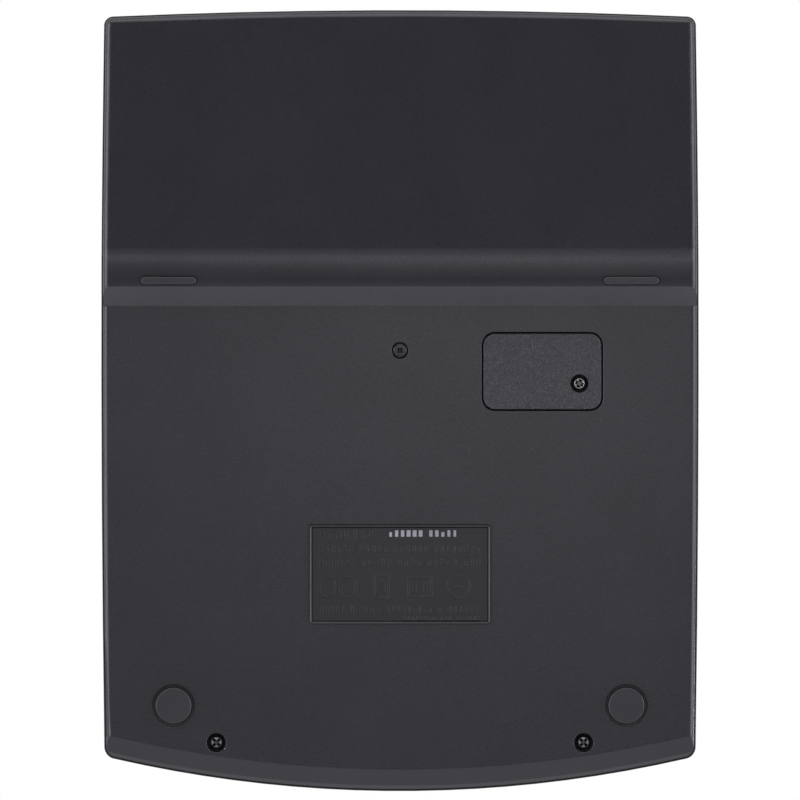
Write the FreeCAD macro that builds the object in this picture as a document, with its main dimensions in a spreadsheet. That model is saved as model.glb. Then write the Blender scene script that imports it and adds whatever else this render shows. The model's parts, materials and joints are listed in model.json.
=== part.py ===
import FreeCAD, Part
import math
import os

import Sketcher
from FreeCAD import Placement, Rotation, Vector

# A desk calculator that lies on its rear foot bar and two round front feet.
#
# Most pieces are drawn in the case frame: X across, Y along the flat underside towards the
# display end, Z up from the underside. The key deck and the display have tilted frames of
# their own. The case frame is then tilted so that the feet stand on Z = 0.

SIZES = {
    # plan outline: four arcs that meet in rounded corners
    "case_length": 203.0,
    "centre_shift": 0.53,
    "front_width": 153.4,
    "back_width": 154.0,
    "front_radius": 332.0,
    "back_radius": 1690.0,
    "side_radius": 6993.0,
    "front_corner": 3.2,
    "back_corner": 2.4,
    # shells
    "wall": 2.0,
    "rim_step": 0.6,
    "lower_wall": 2.4,
    "tongue_height": 1.2,
    "tongue_gap": 0.15,
    "parting_height": 4.5,
    "parting_bend": 36.0,
    "parting_back_height": 15.5,
    "deck_front_height": 10.6,
    "deck_back": 46.0,
    "deck_back_height": 17.4,
    "display_back_height": 25.2,
    "top_fillet": 2.0,
    # underside: flat panel, step, crest of the foot bar, rising slope, front lip
    "step_start": 24.4,
    "step_end": 29.3,
    "step_depth": 4.97,
    "crest_radius": 20.0,
    "crest_end": 39.3,
    "crest_end_depth": 5.45,
    "slope_rise": 0.208,
    "lip_width": 5.8,
    "lip_height": 1.7,
    "lip_edge": 0.8,
    "lower_fillet": 1.4,
    "rear_fillet": 1.7,
    # feet
    "foot_x": 58.7,
    "foot_y": -79.2,
    "foot_radius": 4.67,
    "foot_height": 1.3,
    "foot_recess": 1.0,
    "foot_ring_radius": 5.4,
    "foot_ring_depth": 0.15,
    "foot_edge": 0.3,
    "strip_x": 59.9,
    "strip_y": 30.9,
    "strip_length": 14.3,
    "strip_width": 2.0,
    "strip_bottom": 6.3,
    "strip_height": 2.4,
    "strip_seat_y": 31.3,
    "strip_seat_depth": 4.2,
    "strip_seat_bottom": 4.5,
    "strip_seat_height": 3.2,
    # screws and their bosses
    "screw_x": 47.6,
    "screw_y": -88.8,
    "centre_screw_y": 12.85,
    "screw_head_radius": 1.65,
    "screw_head_height": 1.2,
    "screw_shank_radius": 0.98,
    "screw_bore": 2.525,
    "centre_bore": 2.15,
    "front_bore_depth": 3.4,
    "centre_bore_depth": 1.35,
    "cross_length": 2.25,
    "cross_width": 0.5,
    "cross_depth": 0.8,
    "lower_boss_radius": 3.9,
    "front_boss_radius": 2.4,
    "boss_floor": 1.4,
    # rating panel recess
    "label_y": -45.2,
    "label_width": 46.9,
    "label_depth": 25.6,
    "label_recess": 0.25,
    "label_corner": 0.7,
    # battery compartment
    "cover_x": -36.9,
    "cover_y": 7.4,
    "cover_width": 30.7,
    "cover_depth": 19.7,
    "cover_corner": 3.1,
    "cover_gap": 0.42,
    "cover_thickness": 1.45,
    "cover_seat": 1.5,
    "cover_screw_x": -46.5,
    "cover_screw_y": 4.3,
    "cover_bore": 2.375,
    "cover_bore_depth": 1.6,
    "cover_flush": 0.05,
    "cover_edge": 0.3,
    "cover_shank_radius": 0.9,
    "cover_head_seat": 1.2,
    "cover_seat_radius": 3.2,
    "cover_post_radius": 2.6,
    "cover_post_height": 5.2,
    "ledge_floor": 1.7,
    "cover_head_radius": 1.5,
    "battery_x": -31.3,
    "battery_radius": 5.8,
    "battery_height": 5.4,
    "battery_cap_radius": 4.4,
    "battery_cap_height": 0.8,
    "battery_bottom": 1.55,
    "well_gap": 0.25,
    "well_wall": 1.4,
    "well_top": 7.95,
    "well_roof": 0.7,
    "contact_thickness": 0.2,
    # keys
    "column_pitch": 28.0,
    "row_pitch": 23.4,
    "first_row": -69.05,
    "small_row": 39.0,
    "key_width": 22.0,
    "key_depth": 16.6,
    "small_key_depth": 7.0,
    "key_height": 3.2,
    "key_gap": 0.4,
    "key_corner": 1.6,
    "key_dish": 0.35,
    "key_wall": 1.3,
    "key_edge": 0.6,
    "key_inner_corner": 0.8,
    "flange_margin": 0.9,
    "flange_thickness": 0.8,
    "flange_top": 2.1,
    "stem_radius": 2.6,
    # keypad sheet and board, under the deck
    "dome_top": 2.95,
    "dome_height": 2.35,
    "sheet_thickness": 0.8,
    "sheet_back": 43.0,
    "dome_radius": 4.4,
    "dome_top_radius": 2.9,
    "small_dome_radius": 2.4,
    "board_top": 6.15,
    "board_thickness": 1.0,
    "board_width": 138.0,
    "board_front": -80.0,
    "board_back": 43.5,
    "board_boss_radius": 1.8,
    "board_screw_radius": 0.8,
    "blob_x": 14.0,
    "blob_y": 30.0,
    "blob_radius": 7.0,
    "blob_height": 1.4,
    "capacitor_x": 36.0,
    "capacitor_y": 34.0,
    "capacitor_radius": 2.0,
    "capacitor_length": 7.0,
    # slide switches
    "decimal_travel": 11.0,
    "rounding_travel": 5.0,
    "knob_width": 6.4,
    "knob_depth": 4.6,
    "knob_height": 2.0,
    "knob_stem_width": 3.0,
    "knob_stem_depth": 2.0,
    "knob_corner": 0.8,
    "switch_stem_length": 3.6,
    # display end, from the front edge of the sloped display face
    "plate_width": 141.0,
    "plate_front": 3.0,
    "plate_depth": 49.0,
    "plate_thickness": 0.8,
    "plate_corner": 2.5,
    "pane_corner": 0.6,
    "window_y": 18.5,
    "window_width": 108.0,
    "window_depth": 25.0,
    "solar_x": 45.0,
    "solar_y": 42.6,
    "solar_width": 36.0,
    "solar_depth": 12.0,
    "ledge": 2.0,
    "frame_width": 118.0,
    "frame_depth": 33.0,
    "frame_height": 4.2,
    "glass_width": 110.0,
    "glass_depth": 27.0,
    "glass_thickness": 2.2,
}

KEY_ROWS = (
    ("key_all_clear", "key_0", "key_decimal_point", "key_equals", None),
    ("key_clear", "key_1", "key_2", "key_3", None),
    ("key_square_root", "key_4", "key_5", "key_6", "key_minus"),
    ("key_percent", "key_7", "key_8", "key_9", "key_multiply"),
    ("key_memory_clear", "key_memory_recall", "key_memory_minus", "key_memory_plus", "key_divide"),
)
SMALL_KEYS = (None, None, "key_grand_total", "key_mark_up", "key_backspace")

doc = FreeCAD.newDocument("desk_calculator")
sheet = doc.addObject("Spreadsheet::Sheet", "Sizes")
nodes = {}


class Size:
    """A dimension: its value in millimetres and the sheet formula that gives it."""

    def __init__(self, value, formula):
        self.value = value
        self.formula = formula

    def joined(self, other, sign, value):
        return Size(value, f"({self.formula} {sign} {other.formula})")

    def __add__(self, other):
        other = as_size(other)
        return self.joined(other, "+", self.value + other.value)

    def __sub__(self, other):
        other = as_size(other)
        return self.joined(other, "-", self.value - other.value)

    def __mul__(self, other):
        other = as_size(other)
        return self.joined(other, "*", self.value * other.value)

    def __truediv__(self, other):
        other = as_size(other)
        return self.joined(other, "/", self.value / other.value)

    def __neg__(self):
        return self * -1

    def root(self):
        return Size(math.sqrt(self.value), f"sqrt({self.formula})")


def as_size(number):
    return number if isinstance(number, Size) else Size(float(number), f"{number:.6f}")


def fill_sheet():
    """Writes the driving dimensions and returns them by name."""
    for row, (name, value) in enumerate(SIZES.items(), start=1):
        sheet.set(f"A{row}", name)
        sheet.set(f"B{row}", str(value))
        sheet.setAlias(f"B{row}", name)
    doc.recompute()
    return {name: Size(float(value), f"Sizes.{name}") for name, value in SIZES.items()}


class Dimensions:
    """The sheet's dimensions as attributes."""

    def __init__(self, by_name):
        self.__dict__.update(by_name)


dim = Dimensions(fill_sheet())


# Sketches ------------------------------------------------------------------------------------


def new_body(name):
    return doc.addObject("PartDesign::Body", name)


def new_sketch(body, plane="XY_Plane", lift=0):
    """A sketch on one of the body's own origin planes, lifted along the plane's normal."""
    sketch = body.newObject("Sketcher::SketchObject", "Sketch")
    support = [item for item in body.Origin.OriginFeatures if item.Role == plane][0]
    sketch.AttachmentSupport = [(support, "")]
    sketch.MapMode = "FlatFace"
    sketch.setExpression("AttachmentOffset.Base.z", as_size(lift).formula)
    return sketch


def constrain(sketch, size, *constraint):
    """Adds a constraint and binds its value to the sheet."""
    size = as_size(size)
    index = sketch.addConstraint(Sketcher.Constraint(*constraint, size.value))
    sketch.setExpression(f"Constraints[{index}]", size.formula)


def closed_path(sketch, corners, radii=None):
    """A counter-clockwise loop through the corners. An edge is straight, or an outward arc
    where radii gives its radius by the number of the corner that it starts at."""
    radii = radii or {}
    corners = [(as_size(x), as_size(y)) for x, y in corners]
    points = [Vector(x.value, y.value, 0) for x, y in corners]
    first = sketch.GeometryCount
    for number, start in enumerate(points):
        end = points[(number + 1) % len(points)]
        if number in radii:
            chord = end - start
            radius = as_size(radii[number]).value
            bulge = radius - math.sqrt(radius**2 - chord.Length**2 / 4)
            outward = Vector(chord.y, -chord.x, 0).normalize()
            curve = Part.Arc(start, (start + end) / 2 + outward * bulge, end)
        else:
            curve = Part.LineSegment(start, end)
        sketch.addGeometry(curve, False)
    for number, (x, y) in enumerate(corners):
        edge = first + number
        following = first + (number + 1) % len(corners)
        sketch.addConstraint(Sketcher.Constraint("Coincident", edge, 2, following, 1))
        constrain(sketch, x, "DistanceX", edge, 1)
        constrain(sketch, y, "DistanceY", edge, 1)
        if number in radii:
            constrain(sketch, radii[number], "Radius", edge)


def rectangle(sketch, x, y, width, depth, corner=None):
    """A rectangle about a centre, with rounded corners if a radius is given."""
    x, y, width, depth = (as_size(size) for size in (x, y, width, depth))
    left, right = x - width / 2, x + width / 2
    front, back = y - depth / 2, y + depth / 2
    if corner is None:
        closed_path(sketch, [(left, front), (right, front), (right, back), (left, back)])
        return
    points = [
        (left + corner, front),
        (right - corner, front),
        (right, front + corner),
        (right, back - corner),
        (right - corner, back),
        (left + corner, back),
        (left, back - corner),
        (left, front + corner),
    ]
    closed_path(sketch, points, {1: corner, 3: corner, 5: corner, 7: corner})


def circle(sketch, x, y, radius):
    x, y, radius = as_size(x), as_size(y), as_size(radius)
    centre = Vector(x.value, y.value, 0)
    index = sketch.addGeometry(Part.Circle(centre, Vector(0, 0, 1), radius.value), False)
    constrain(sketch, x, "DistanceX", index, 3)
    constrain(sketch, y, "DistanceY", index, 3)
    constrain(sketch, radius, "Radius", index)


def case_outline(sketch, inset=0):
    """The plan outline of the case, drawn inwards by inset."""
    inset = as_size(inset)
    front_radius = dim.front_radius - inset
    back_radius = dim.back_radius - inset
    half_front = dim.front_width / 2 - inset
    half_back = dim.back_width / 2 - inset
    front_reach = (front_radius * front_radius - half_front * half_front).root()
    back_reach = (back_radius * back_radius - half_back * half_back).root()
    front = dim.front_radius - dim.case_length / 2 - front_reach
    back = dim.case_length / 2 - dim.back_radius + back_reach
    corners = [(-half_front, front), (half_front, front), (half_back, back), (-half_back, back)]
    side_radius = dim.side_radius - inset
    closed_path(sketch, corners, {0: front_radius, 1: side_radius, 2: back_radius, 3: side_radius})


# Features ------------------------------------------------------------------------------------


def pad(body, sketch, length, both_ways=False, downwards=False):
    feature = body.newObject("PartDesign::Pad", "Pad")
    feature.Profile = sketch
    feature.SideType = "Symmetric" if both_ways else "One side"
    feature.Reversed = downwards
    feature.setExpression("Length", as_size(length).formula)
    return feature


def pocket(body, sketch, depth=None, upwards=False):
    """Cuts by depth away from the sketch, or right through both ways."""
    feature = body.newObject("PartDesign::Pocket", "Pocket")
    feature.Profile = sketch
    feature.Reversed = upwards
    if depth is None:
        feature.Type = "ThroughAll"
        feature.SideType = "Symmetric"
    else:
        feature.setExpression("Length", as_size(depth).formula)
    return feature


def removed(body, feature):
    """Checks that a cut took something away."""
    doc.recompute()
    before = feature.BaseFeature.Shape.Volume
    if not feature.Shape.Volume < before - 1e-6:
        raise RuntimeError(f"{body.Label}: {feature.Name} cuts nothing")


def fillet(body, radius, chosen):
    """Rounds the edges of the body so far that chosen() accepts."""
    doc.recompute()
    base = body.Tip
    edges = [f"Edge{number}" for number, edge in enumerate(base.Shape.Edges, 1) if chosen(edge)]
    if not edges:
        raise RuntimeError(f"{body.Label}: no edge to round")
    feature = body.newObject("PartDesign::Fillet", "Fillet")
    feature.Base = (base, edges)
    feature.setExpression("Radius", as_size(radius).formula)
    return feature


def upright(edge):
    """Whether an edge is straight and parallel to Z."""
    return edge.Curve.TypeId == "Part::GeomLine" and abs(edge.tangentAt(edge.FirstParameter).z) > 0.999


def middle(edge):
    return edge.valueAt((edge.FirstParameter + edge.LastParameter) / 2)


def cylinder(x, y, bottom, radius, height):
    feature = doc.addObject("Part::Cylinder", "Cylinder")
    for prop, size in (
        ("Radius", radius),
        ("Height", height),
        ("Placement.Base.x", x),
        ("Placement.Base.y", y),
        ("Placement.Base.z", bottom),
    ):
        feature.setExpression(prop, as_size(size).formula)
    return feature


def box(x, y, bottom, width, depth, height):
    """A box centred on x and y that stands on bottom."""
    x, y, width, depth = (as_size(size) for size in (x, y, width, depth))
    feature = doc.addObject("Part::Box", "Box")
    for prop, size in (
        ("Length", width),
        ("Width", depth),
        ("Height", height),
        ("Placement.Base.x", x - width / 2),
        ("Placement.Base.y", y - depth / 2),
        ("Placement.Base.z", bottom),
    ):
        feature.setExpression(prop, as_size(size).formula)
    return feature


def cone(x, y, bottom, low_radius, top_radius, height):
    feature = doc.addObject("Part::Cone", "Cone")
    for prop, size in (
        ("Radius1", low_radius),
        ("Radius2", top_radius),
        ("Height", height),
        ("Placement.Base.x", x),
        ("Placement.Base.y", y),
        ("Placement.Base.z", bottom),
    ):
        feature.setExpression(prop, as_size(size).formula)
    return feature


def fuse(*shapes):
    feature = doc.addObject("Part::MultiFuse", "Fuse")
    feature.Shapes = list(shapes)
    return feature


def cut(base, *tools):
    feature = doc.addObject("Part::Cut", "Cut")
    feature.Base = base
    feature.Tool = tools[0] if len(tools) == 1 else fuse(*tools)
    return feature


def node(name, feature, frame):
    """Names a finished piece and puts it where its frame says."""
    feature.Label = name
    feature.Placement = frame
    nodes[name] = feature


# Heights and frames --------------------------------------------------------------------------


def height_on(start, start_height, end, end_height, y):
    """The height at y of the straight line through two points of the side profile."""
    slope = (as_size(end_height) - start_height) / (as_size(end) - start)
    return slope * (as_size(y) - start) + start_height


def deck_height(y):
    front = -(dim.case_length / 2)
    return height_on(front, dim.deck_front_height, dim.deck_back, dim.deck_back_height, y)


def display_height(y):
    back = dim.case_length / 2
    return height_on(dim.deck_back, dim.deck_back_height, back, dim.display_back_height, y)


def parting_height(y):
    """The height of the joint between the shells, behind its bend."""
    back = dim.case_length / 2
    return height_on(dim.parting_bend, dim.parting_height, back, dim.parting_back_height, y)


def ground_height(y):
    """The height in the case frame of the surface that the feet stand on."""
    return height_on(dim.foot_y, -dim.foot_height, dim.strip_y, -dim.strip_bottom, y)


def slope_depth(y):
    """How far the rising rear slope of the underside is below the flat panel."""
    return dim.crest_end_depth - dim.slope_rise * (as_size(y) - dim.crest_end)


def tilted(height, angle, y=0.0):
    return Placement(Vector(0, y, height), Rotation(Vector(1, 0, 0), math.degrees(angle)))


REACH = 106.0  # further than the case reaches either way along Y
BLOCK_WIDTH = 170.0  # wider than the case
# the ground runs under the middles of the round feet and of the foot strips
foot_drop = dim.strip_bottom.value - dim.foot_height.value
case_angle = math.atan(foot_drop / (dim.strip_y.value - dim.foot_y.value))
foot_rise = dim.foot_height.value * math.cos(case_angle)
case_rise = foot_rise - dim.foot_y.value * math.sin(case_angle)
CASE = tilted(case_rise, case_angle, dim.centre_shift.value)
deck_angle = math.atan((deck_height(1).value - deck_height(0).value))
DECK = CASE * tilted(deck_height(0).value, deck_angle)
display_angle = math.atan((display_height(1).value - display_height(0).value))
DISPLAY = CASE * tilted(dim.deck_back_height.value, display_angle, dim.deck_back.value)


def columns():
    return [dim.column_pitch * number for number in (-2, -1, 0, 1, 2)]


def rows():
    return [dim.first_row + dim.row_pitch * number for number in range(5)]


def key_places():
    """Each key's name, centre and depth, in the deck frame."""
    places = []
    for row, names in zip(rows(), KEY_ROWS):
        for column, name in zip(columns(), names):
            if name:
                places.append((name, column, row, dim.key_depth))
    plus_row = dim.first_row + dim.row_pitch / 2
    places.append(("key_plus", columns()[4], plus_row, dim.key_depth + dim.row_pitch))
    for column, name in zip(columns(), SMALL_KEYS):
        if name:
            places.append((name, column, dim.small_row, dim.small_key_depth))
    return places


def switch_places():
    """Each slide switch's name, the X of its rest position, its centre X and its travel."""
    left, right = columns()[0], columns()[1]
    decimal = ("decimal", left - dim.decimal_travel / 2, left, dim.decimal_travel)
    rounding = ("rounding", right, right, dim.rounding_travel)
    return decimal, rounding


def board_boss_places():
    """Six points between keys where the board is screwed to the upper case."""
    inner, outer = dim.column_pitch / 2, dim.column_pitch * 1.5
    low = dim.first_row + dim.row_pitch / 2
    middle_row = low + dim.row_pitch
    high = middle_row + dim.row_pitch
    places = [(-outer, low), (outer, low), (-inner, middle_row), (inner, middle_row)]
    return places + [(-outer, high), (outer, high)]


# Shells --------------------------------------------------------------------------------------


def block(name, profile, radii, inset):
    """A side profile drawn right across, trimmed to the plan outline."""
    body = new_body(name)
    side = new_sketch(body, "YZ_Plane")
    closed_path(side, profile, radii)
    pad(body, side, BLOCK_WIDTH, both_ways=True)
    around = new_sketch(body)
    rectangle(around, 0, 0, 2 * REACH + BLOCK_WIDTH, 2 * REACH + BLOCK_WIDTH)
    case_outline(around, inset)
    removed(body, pocket(body, around))
    return body


def rear_profile(rise):
    """The foot bar and the rear slope in side view, moved up by rise."""
    rise = as_size(rise)
    step = rise * 0.4
    points = [
        (dim.step_start + step, rise),
        (dim.step_end + step, rise - dim.step_depth),
        (dim.crest_end + step, rise - slope_depth(dim.crest_end + step)),
        (REACH, rise - slope_depth(REACH)),
        (REACH, parting_height(REACH) + rise),
        (dim.parting_bend, dim.parting_height + rise),
        (dim.step_start + step, dim.parting_height + rise),
    ]
    return points, {1: dim.crest_radius - rise}


def front_profile(rise):
    """The flat panel in side view, moved up by rise, as far back as the foot bar."""
    rise = as_size(rise)
    back = dim.step_start + 4
    top = dim.parting_height + rise
    return [(-REACH, rise), (back, rise), (back, top), (-REACH, top)], {}


def on_panel_side(edge):
    point = middle(edge)
    return abs(point.z) < 0.01 and abs(point.x) > 60


def on_rear_rim(edge):
    """Whether an edge joins the foot bar or the slope to the walls."""
    point = middle(edge)
    low = point.z < parting_height(max(point.y, dim.parting_bend.value)).value - 3
    outer = abs(point.x) > 70 and point.y > dim.step_end.value
    return low and not upright(edge) and (outer or point.y > 100)


def cut_lip(body):
    """Turns the sloped front lip and its steeper outer edge about the centre of the front arc."""
    centre = dim.front_radius - dim.case_length / 2
    inner = dim.lip_width - dim.case_length / 2
    rim = dim.rim_step - dim.case_length / 2
    lip = new_sketch(body, "YZ_Plane")
    profile = [
        (rim - 1, -1),
        (inner, -1),
        (inner, 0),
        (rim + dim.lip_edge, dim.lip_height),
        (rim - 1, dim.lip_height + dim.lip_edge + 1),
    ]
    closed_path(lip, profile)
    line = Part.LineSegment(Vector(centre.value, 0, 0), Vector(centre.value, 10, 0))
    axis = lip.addGeometry(line, True)
    for point, height in ((1, 0), (2, 10)):
        constrain(lip, centre, "DistanceX", axis, point)
        constrain(lip, height, "DistanceY", axis, point)
    groove = body.newObject("PartDesign::Groove", "Lip")
    groove.Profile = lip
    groove.ReferenceAxis = (lip, ["Axis0"])
    groove.Midplane = True
    groove.Angle = 40
    removed(body, groove)


def lower_blocks():
    """The solid outer shape of the lower case: the front panel and the foot bar with its slope."""
    front = block("lower_front", *front_profile(0), dim.rim_step)
    corner = dim.front_corner - dim.rim_step
    fillet(front, corner, lambda edge: upright(edge) and middle(edge).y < 0)
    fillet(front, dim.lower_fillet, on_panel_side)
    cut_lip(front)
    rear = block("lower_rear", *rear_profile(0), dim.rim_step)
    fillet(rear, dim.back_corner - dim.rim_step, lambda edge: upright(edge) and middle(edge).y > 90)
    fillet(rear, dim.rear_fillet, on_rear_rim)
    return front, rear


def cross_recess(x, y, bottom, turn=0.0):
    """The cross-shaped driver recess in the underside of a screw head."""
    arms = []
    for angle in (0, 90):
        arm = box(0, 0, bottom, dim.cross_length, dim.cross_width, dim.cross_depth)
        holder = doc.addObject("Part::MultiFuse", "Arm")
        holder.Shapes = [arm, box(0, 0, bottom, dim.cross_width, dim.cross_width, dim.cross_depth)]
        arms.append(holder)
        holder.Placement = Placement(Vector(0, 0, 0), Rotation(Vector(0, 0, 1), angle + turn))
    cross = fuse(*arms)
    cross.setExpression("Placement.Base.x", as_size(x).formula)
    cross.setExpression("Placement.Base.y", as_size(y).formula)
    return cross


def screw(x, y, bottom, head_radius, shank_radius, head_height, length, turn=0.0):
    """A screw that is driven from below: a low domed head, its cross recess and its shank."""
    head = cone(x, y, bottom, head_radius * 0.86, head_radius, head_height * 0.3)
    rim = cylinder(x, y, bottom + head_height * 0.3, head_radius, head_height * 0.7)
    shank = cylinder(x, y, bottom + head_height, shank_radius, length)
    recess = cross_recess(x, y, bottom, turn)
    return cut(fuse(head, rim, shank), recess)


def case_screw_places():
    """X, Y and the depth of the head's seat for the three screws of the case."""
    front = dim.front_bore_depth
    return (
        (-dim.screw_x, dim.screw_y, front),
        (dim.screw_x, dim.screw_y, front),
        (as_size(0), dim.centre_screw_y, dim.centre_bore_depth),
    )


def lower_boss_height(seat):
    return seat + dim.boss_floor


def tongue_ring():
    """The lip of the lower case that stands inside the upper case's walls."""
    bottom, rise = dim.parting_height - 1.5, dim.tongue_height + 1.5
    body = new_body("tongue")
    side = new_sketch(body, "YZ_Plane")
    low = parting_height(REACH) - 1.5
    profile = [
        (-REACH, bottom),
        (dim.parting_bend, bottom),
        (REACH, low),
        (REACH, low + rise),
        (dim.parting_bend, bottom + rise),
        (-REACH, bottom + rise),
    ]
    closed_path(side, profile)
    pad(body, side, BLOCK_WIDTH, both_ways=True)
    around = new_sketch(body)
    rectangle(around, 0, 0, 2 * REACH + BLOCK_WIDTH, 2 * REACH + BLOCK_WIDTH)
    case_outline(around, dim.wall + dim.tongue_gap)
    removed(body, pocket(body, around))
    inside = new_sketch(body)
    case_outline(inside, dim.rim_step + dim.lower_wall)
    removed(body, pocket(body, inside))
    return body


def rounded_plate(name, x, y, bottom, width, depth, height, corner):
    body = new_body(name)
    plan = new_sketch(body, lift=bottom)
    rectangle(plan, x, y, width, depth, corner)
    pad(body, plan, height)
    return body


def build_lower_case():
    front, rear = lower_blocks()
    inset = dim.rim_step + dim.lower_wall
    hollow_front = block("lower_hollow_front", *front_profile(dim.wall), inset)
    hollow_rear = block("lower_hollow_rear", *rear_profile(dim.wall), inset)
    shell = cut(fuse(front, rear), hollow_front, hollow_rear)
    parts = [shell, tongue_ring()]
    for x, y, seat in case_screw_places():
        parts.append(cylinder(x, y, 0.5, dim.lower_boss_radius, lower_boss_height(seat) - 0.5))
    ledge_height = dim.cover_seat + dim.ledge_floor
    ledge_width = dim.cover_width + 2 * dim.cover_gap.value + 2.6
    ledge_depth = dim.cover_depth + 2 * dim.cover_gap.value + 2.6
    parts.append(box(dim.cover_x, dim.cover_y, 0.5, ledge_width, ledge_depth, ledge_height - 0.5))
    well_radius = dim.battery_radius + dim.well_gap
    outer_well = well_radius + dim.well_wall
    parts.append(cylinder(dim.battery_x, dim.cover_y, 1, outer_well, dim.well_top - 1))
    screw_at = (dim.cover_screw_x, dim.cover_screw_y)
    parts.append(cylinder(*screw_at, 2, dim.cover_post_radius, dim.cover_post_height))
    for side in (-1, 1):
        parts.append(strip_seat(side))

    holes = []
    for x, y, seat in case_screw_places():
        bore = dim.centre_bore if seat is dim.centre_bore_depth else dim.screw_bore
        holes.append(cylinder(x, y, -1, bore, seat + 1))
        holes.append(cylinder(x, y, 0, dim.screw_shank_radius + 0.15, lower_boss_height(seat) + 1))
    for side in (-1, 1):
        x = dim.foot_x * side
        holes.append(cylinder(x, dim.foot_y, -1, dim.foot_radius + 0.1, dim.foot_recess + 1))
        holes.append(cylinder(x, dim.foot_y, -1, dim.foot_ring_radius, dim.foot_ring_depth + 1))
    label = dim.label_recess + 1
    label_size = (dim.label_width, dim.label_depth, label, dim.label_corner)
    holes.append(rounded_plate("label_recess", 0, dim.label_y, -1, *label_size))
    seat_width = dim.cover_width + dim.cover_gap * 2
    seat_depth = dim.cover_depth + dim.cover_gap * 2
    seat_size = (seat_width, seat_depth, dim.cover_seat + 1, dim.cover_corner + dim.cover_gap)
    holes.append(rounded_plate("cover_seat", dim.cover_x, dim.cover_y, -1, *seat_size))
    well_depth = dim.well_top - dim.well_roof - dim.cover_seat
    holes.append(cylinder(dim.battery_x, dim.cover_y, dim.cover_seat, well_radius, well_depth))
    holes.append(cylinder(*screw_at, 1, dim.cover_seat_radius + 0.3, 1.75))
    holes.append(cylinder(*screw_at, 1, dim.cover_shank_radius + 0.05, 6))
    holes.append(box(*plus_contact_place(0.05)))
    holes.append(box(dim.battery_x, dim.cover_y, 6, 1.6, 1.6, 3))
    for side in (-1, 1):
        holes.append(strip_slot(side))
    node("lower_case", cut(fuse(*parts), *holes), CASE)


def spring_x():
    return dim.battery_x + dim.battery_radius + dim.contact_thickness * 0.5 + 0.04


def plus_contact_place(gap):
    """Centre, bottom and size of the side contact, grown by gap all round."""
    size = (dim.contact_thickness + 2 * gap, 3.6 + 2 * gap, 5.8)
    return (spring_x(), dim.cover_y, 2.2 - gap, *size)


def strip_body(name, side, grow):
    """A foot strip, or with grow the slot for it, from below the ground up into the foot bar."""
    body = new_body(name)
    plan = new_sketch(body, lift=-dim.strip_bottom - 0.5)
    width, length = dim.strip_width + 2 * grow, dim.strip_length + 2 * grow
    rectangle(plan, dim.strip_x * side, dim.strip_y, length, width, width / 2 - 0.02)
    pad(body, plan, dim.strip_height + 0.5 + grow)
    return body


def strip_slot(side):
    return strip_body("strip_slot", side, 0.05)


def strip_seat(side):
    """The thicker place in the foot bar that holds a foot strip."""
    size = (dim.strip_length + 3, dim.strip_seat_depth, dim.strip_seat_height)
    return box(dim.strip_x * side, dim.strip_seat_y, -dim.strip_seat_bottom, *size)


def cut_at_ground(body):
    """Cuts the bottom of a foot level with the ground and rounds its edge."""
    below = new_sketch(body, "YZ_Plane")
    profile = [
        (-REACH, -20),
        (REACH, -20),
        (REACH, ground_height(REACH)),
        (-REACH, ground_height(-REACH)),
    ]
    closed_path(below, profile)
    removed(body, pocket(body, below))
    fillet(body, dim.foot_edge, on_ground)


def on_ground(edge):
    point = middle(edge)
    return abs(point.z - ground_height(point.y).value) < 0.01


def build_feet():
    for side, name in ((-1, "left"), (1, "right")):
        disc = new_body(f"disc_{name}")
        plan = new_sketch(disc, lift=-dim.foot_height - 0.5)
        circle(plan, dim.foot_x * side, dim.foot_y, dim.foot_radius)
        pad(disc, plan, dim.foot_height + dim.foot_recess + 0.5)
        cut_at_ground(disc)
        node(f"foot_front_{name}", disc, CASE)
        strip = strip_body(f"strip_{name}", side, 0)
        cut_at_ground(strip)
        node(f"foot_strip_{name}", strip, CASE)


def upper_profile(drop, bottom_drop):
    """The upper case in side view, its top lowered by drop and its bottom by bottom_drop."""
    return [
        (-REACH, dim.parting_height - bottom_drop),
        (dim.parting_bend, dim.parting_height - bottom_drop),
        (REACH, parting_height(REACH) - bottom_drop),
        (REACH, display_height(REACH) - drop),
        (dim.deck_back, dim.deck_back_height - drop),
        (-REACH, deck_height(-REACH) - drop),
    ], {}


def on_top_rim(edge):
    """Whether an edge runs round the top of the outer walls."""
    point = middle(edge)
    height = display_height if point.y > dim.deck_back.value else deck_height
    near_top = point.z > height(point.y).value - 0.3
    outer = abs(point.x) > 74 or abs(point.y) > 99 or point.y < -90
    return near_top and outer and not upright(edge)


def build_upper_case():
    outer = block("upper_outer", *upper_profile(0, 0), 0)
    fillet(outer, dim.front_corner, lambda edge: upright(edge) and middle(edge).y < 0)
    fillet(outer, dim.back_corner, lambda edge: upright(edge) and middle(edge).y > 90)
    fillet(outer, dim.top_fillet, on_top_rim)
    hollow = block("upper_hollow", *upper_profile(dim.wall, 5), dim.wall)
    parts = [cut(outer, hollow)]
    for x, y, seat in case_screw_places():
        bottom = lower_boss_height(seat) + 0.05
        parts.append(cylinder(x, y, bottom, boss_radius(x), deck_height(y) - 1 - bottom))
    parts.append(deck_bosses())
    openings = []
    for x, y, seat in case_screw_places():
        bottom = lower_boss_height(seat)
        openings.append(cylinder(x, y, bottom - 1, dim.screw_shank_radius + 0.02, 6.0))
    upper = cut(fuse(*parts), fuse(*openings), deck_openings(), display_openings())
    node("upper_case", upper, CASE)


def boss_radius(x):
    """The front bosses have room around them; the centre one stands between keys."""
    return dim.board_boss_radius if abs(x.value) < 1 else dim.front_boss_radius


def in_deck(feature):
    """Moves a feature drawn in the deck frame into the case frame."""
    feature.Placement = CASE.inverse() * DECK
    return feature


def in_display(feature):
    feature.Placement = CASE.inverse() * DISPLAY
    return feature


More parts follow.
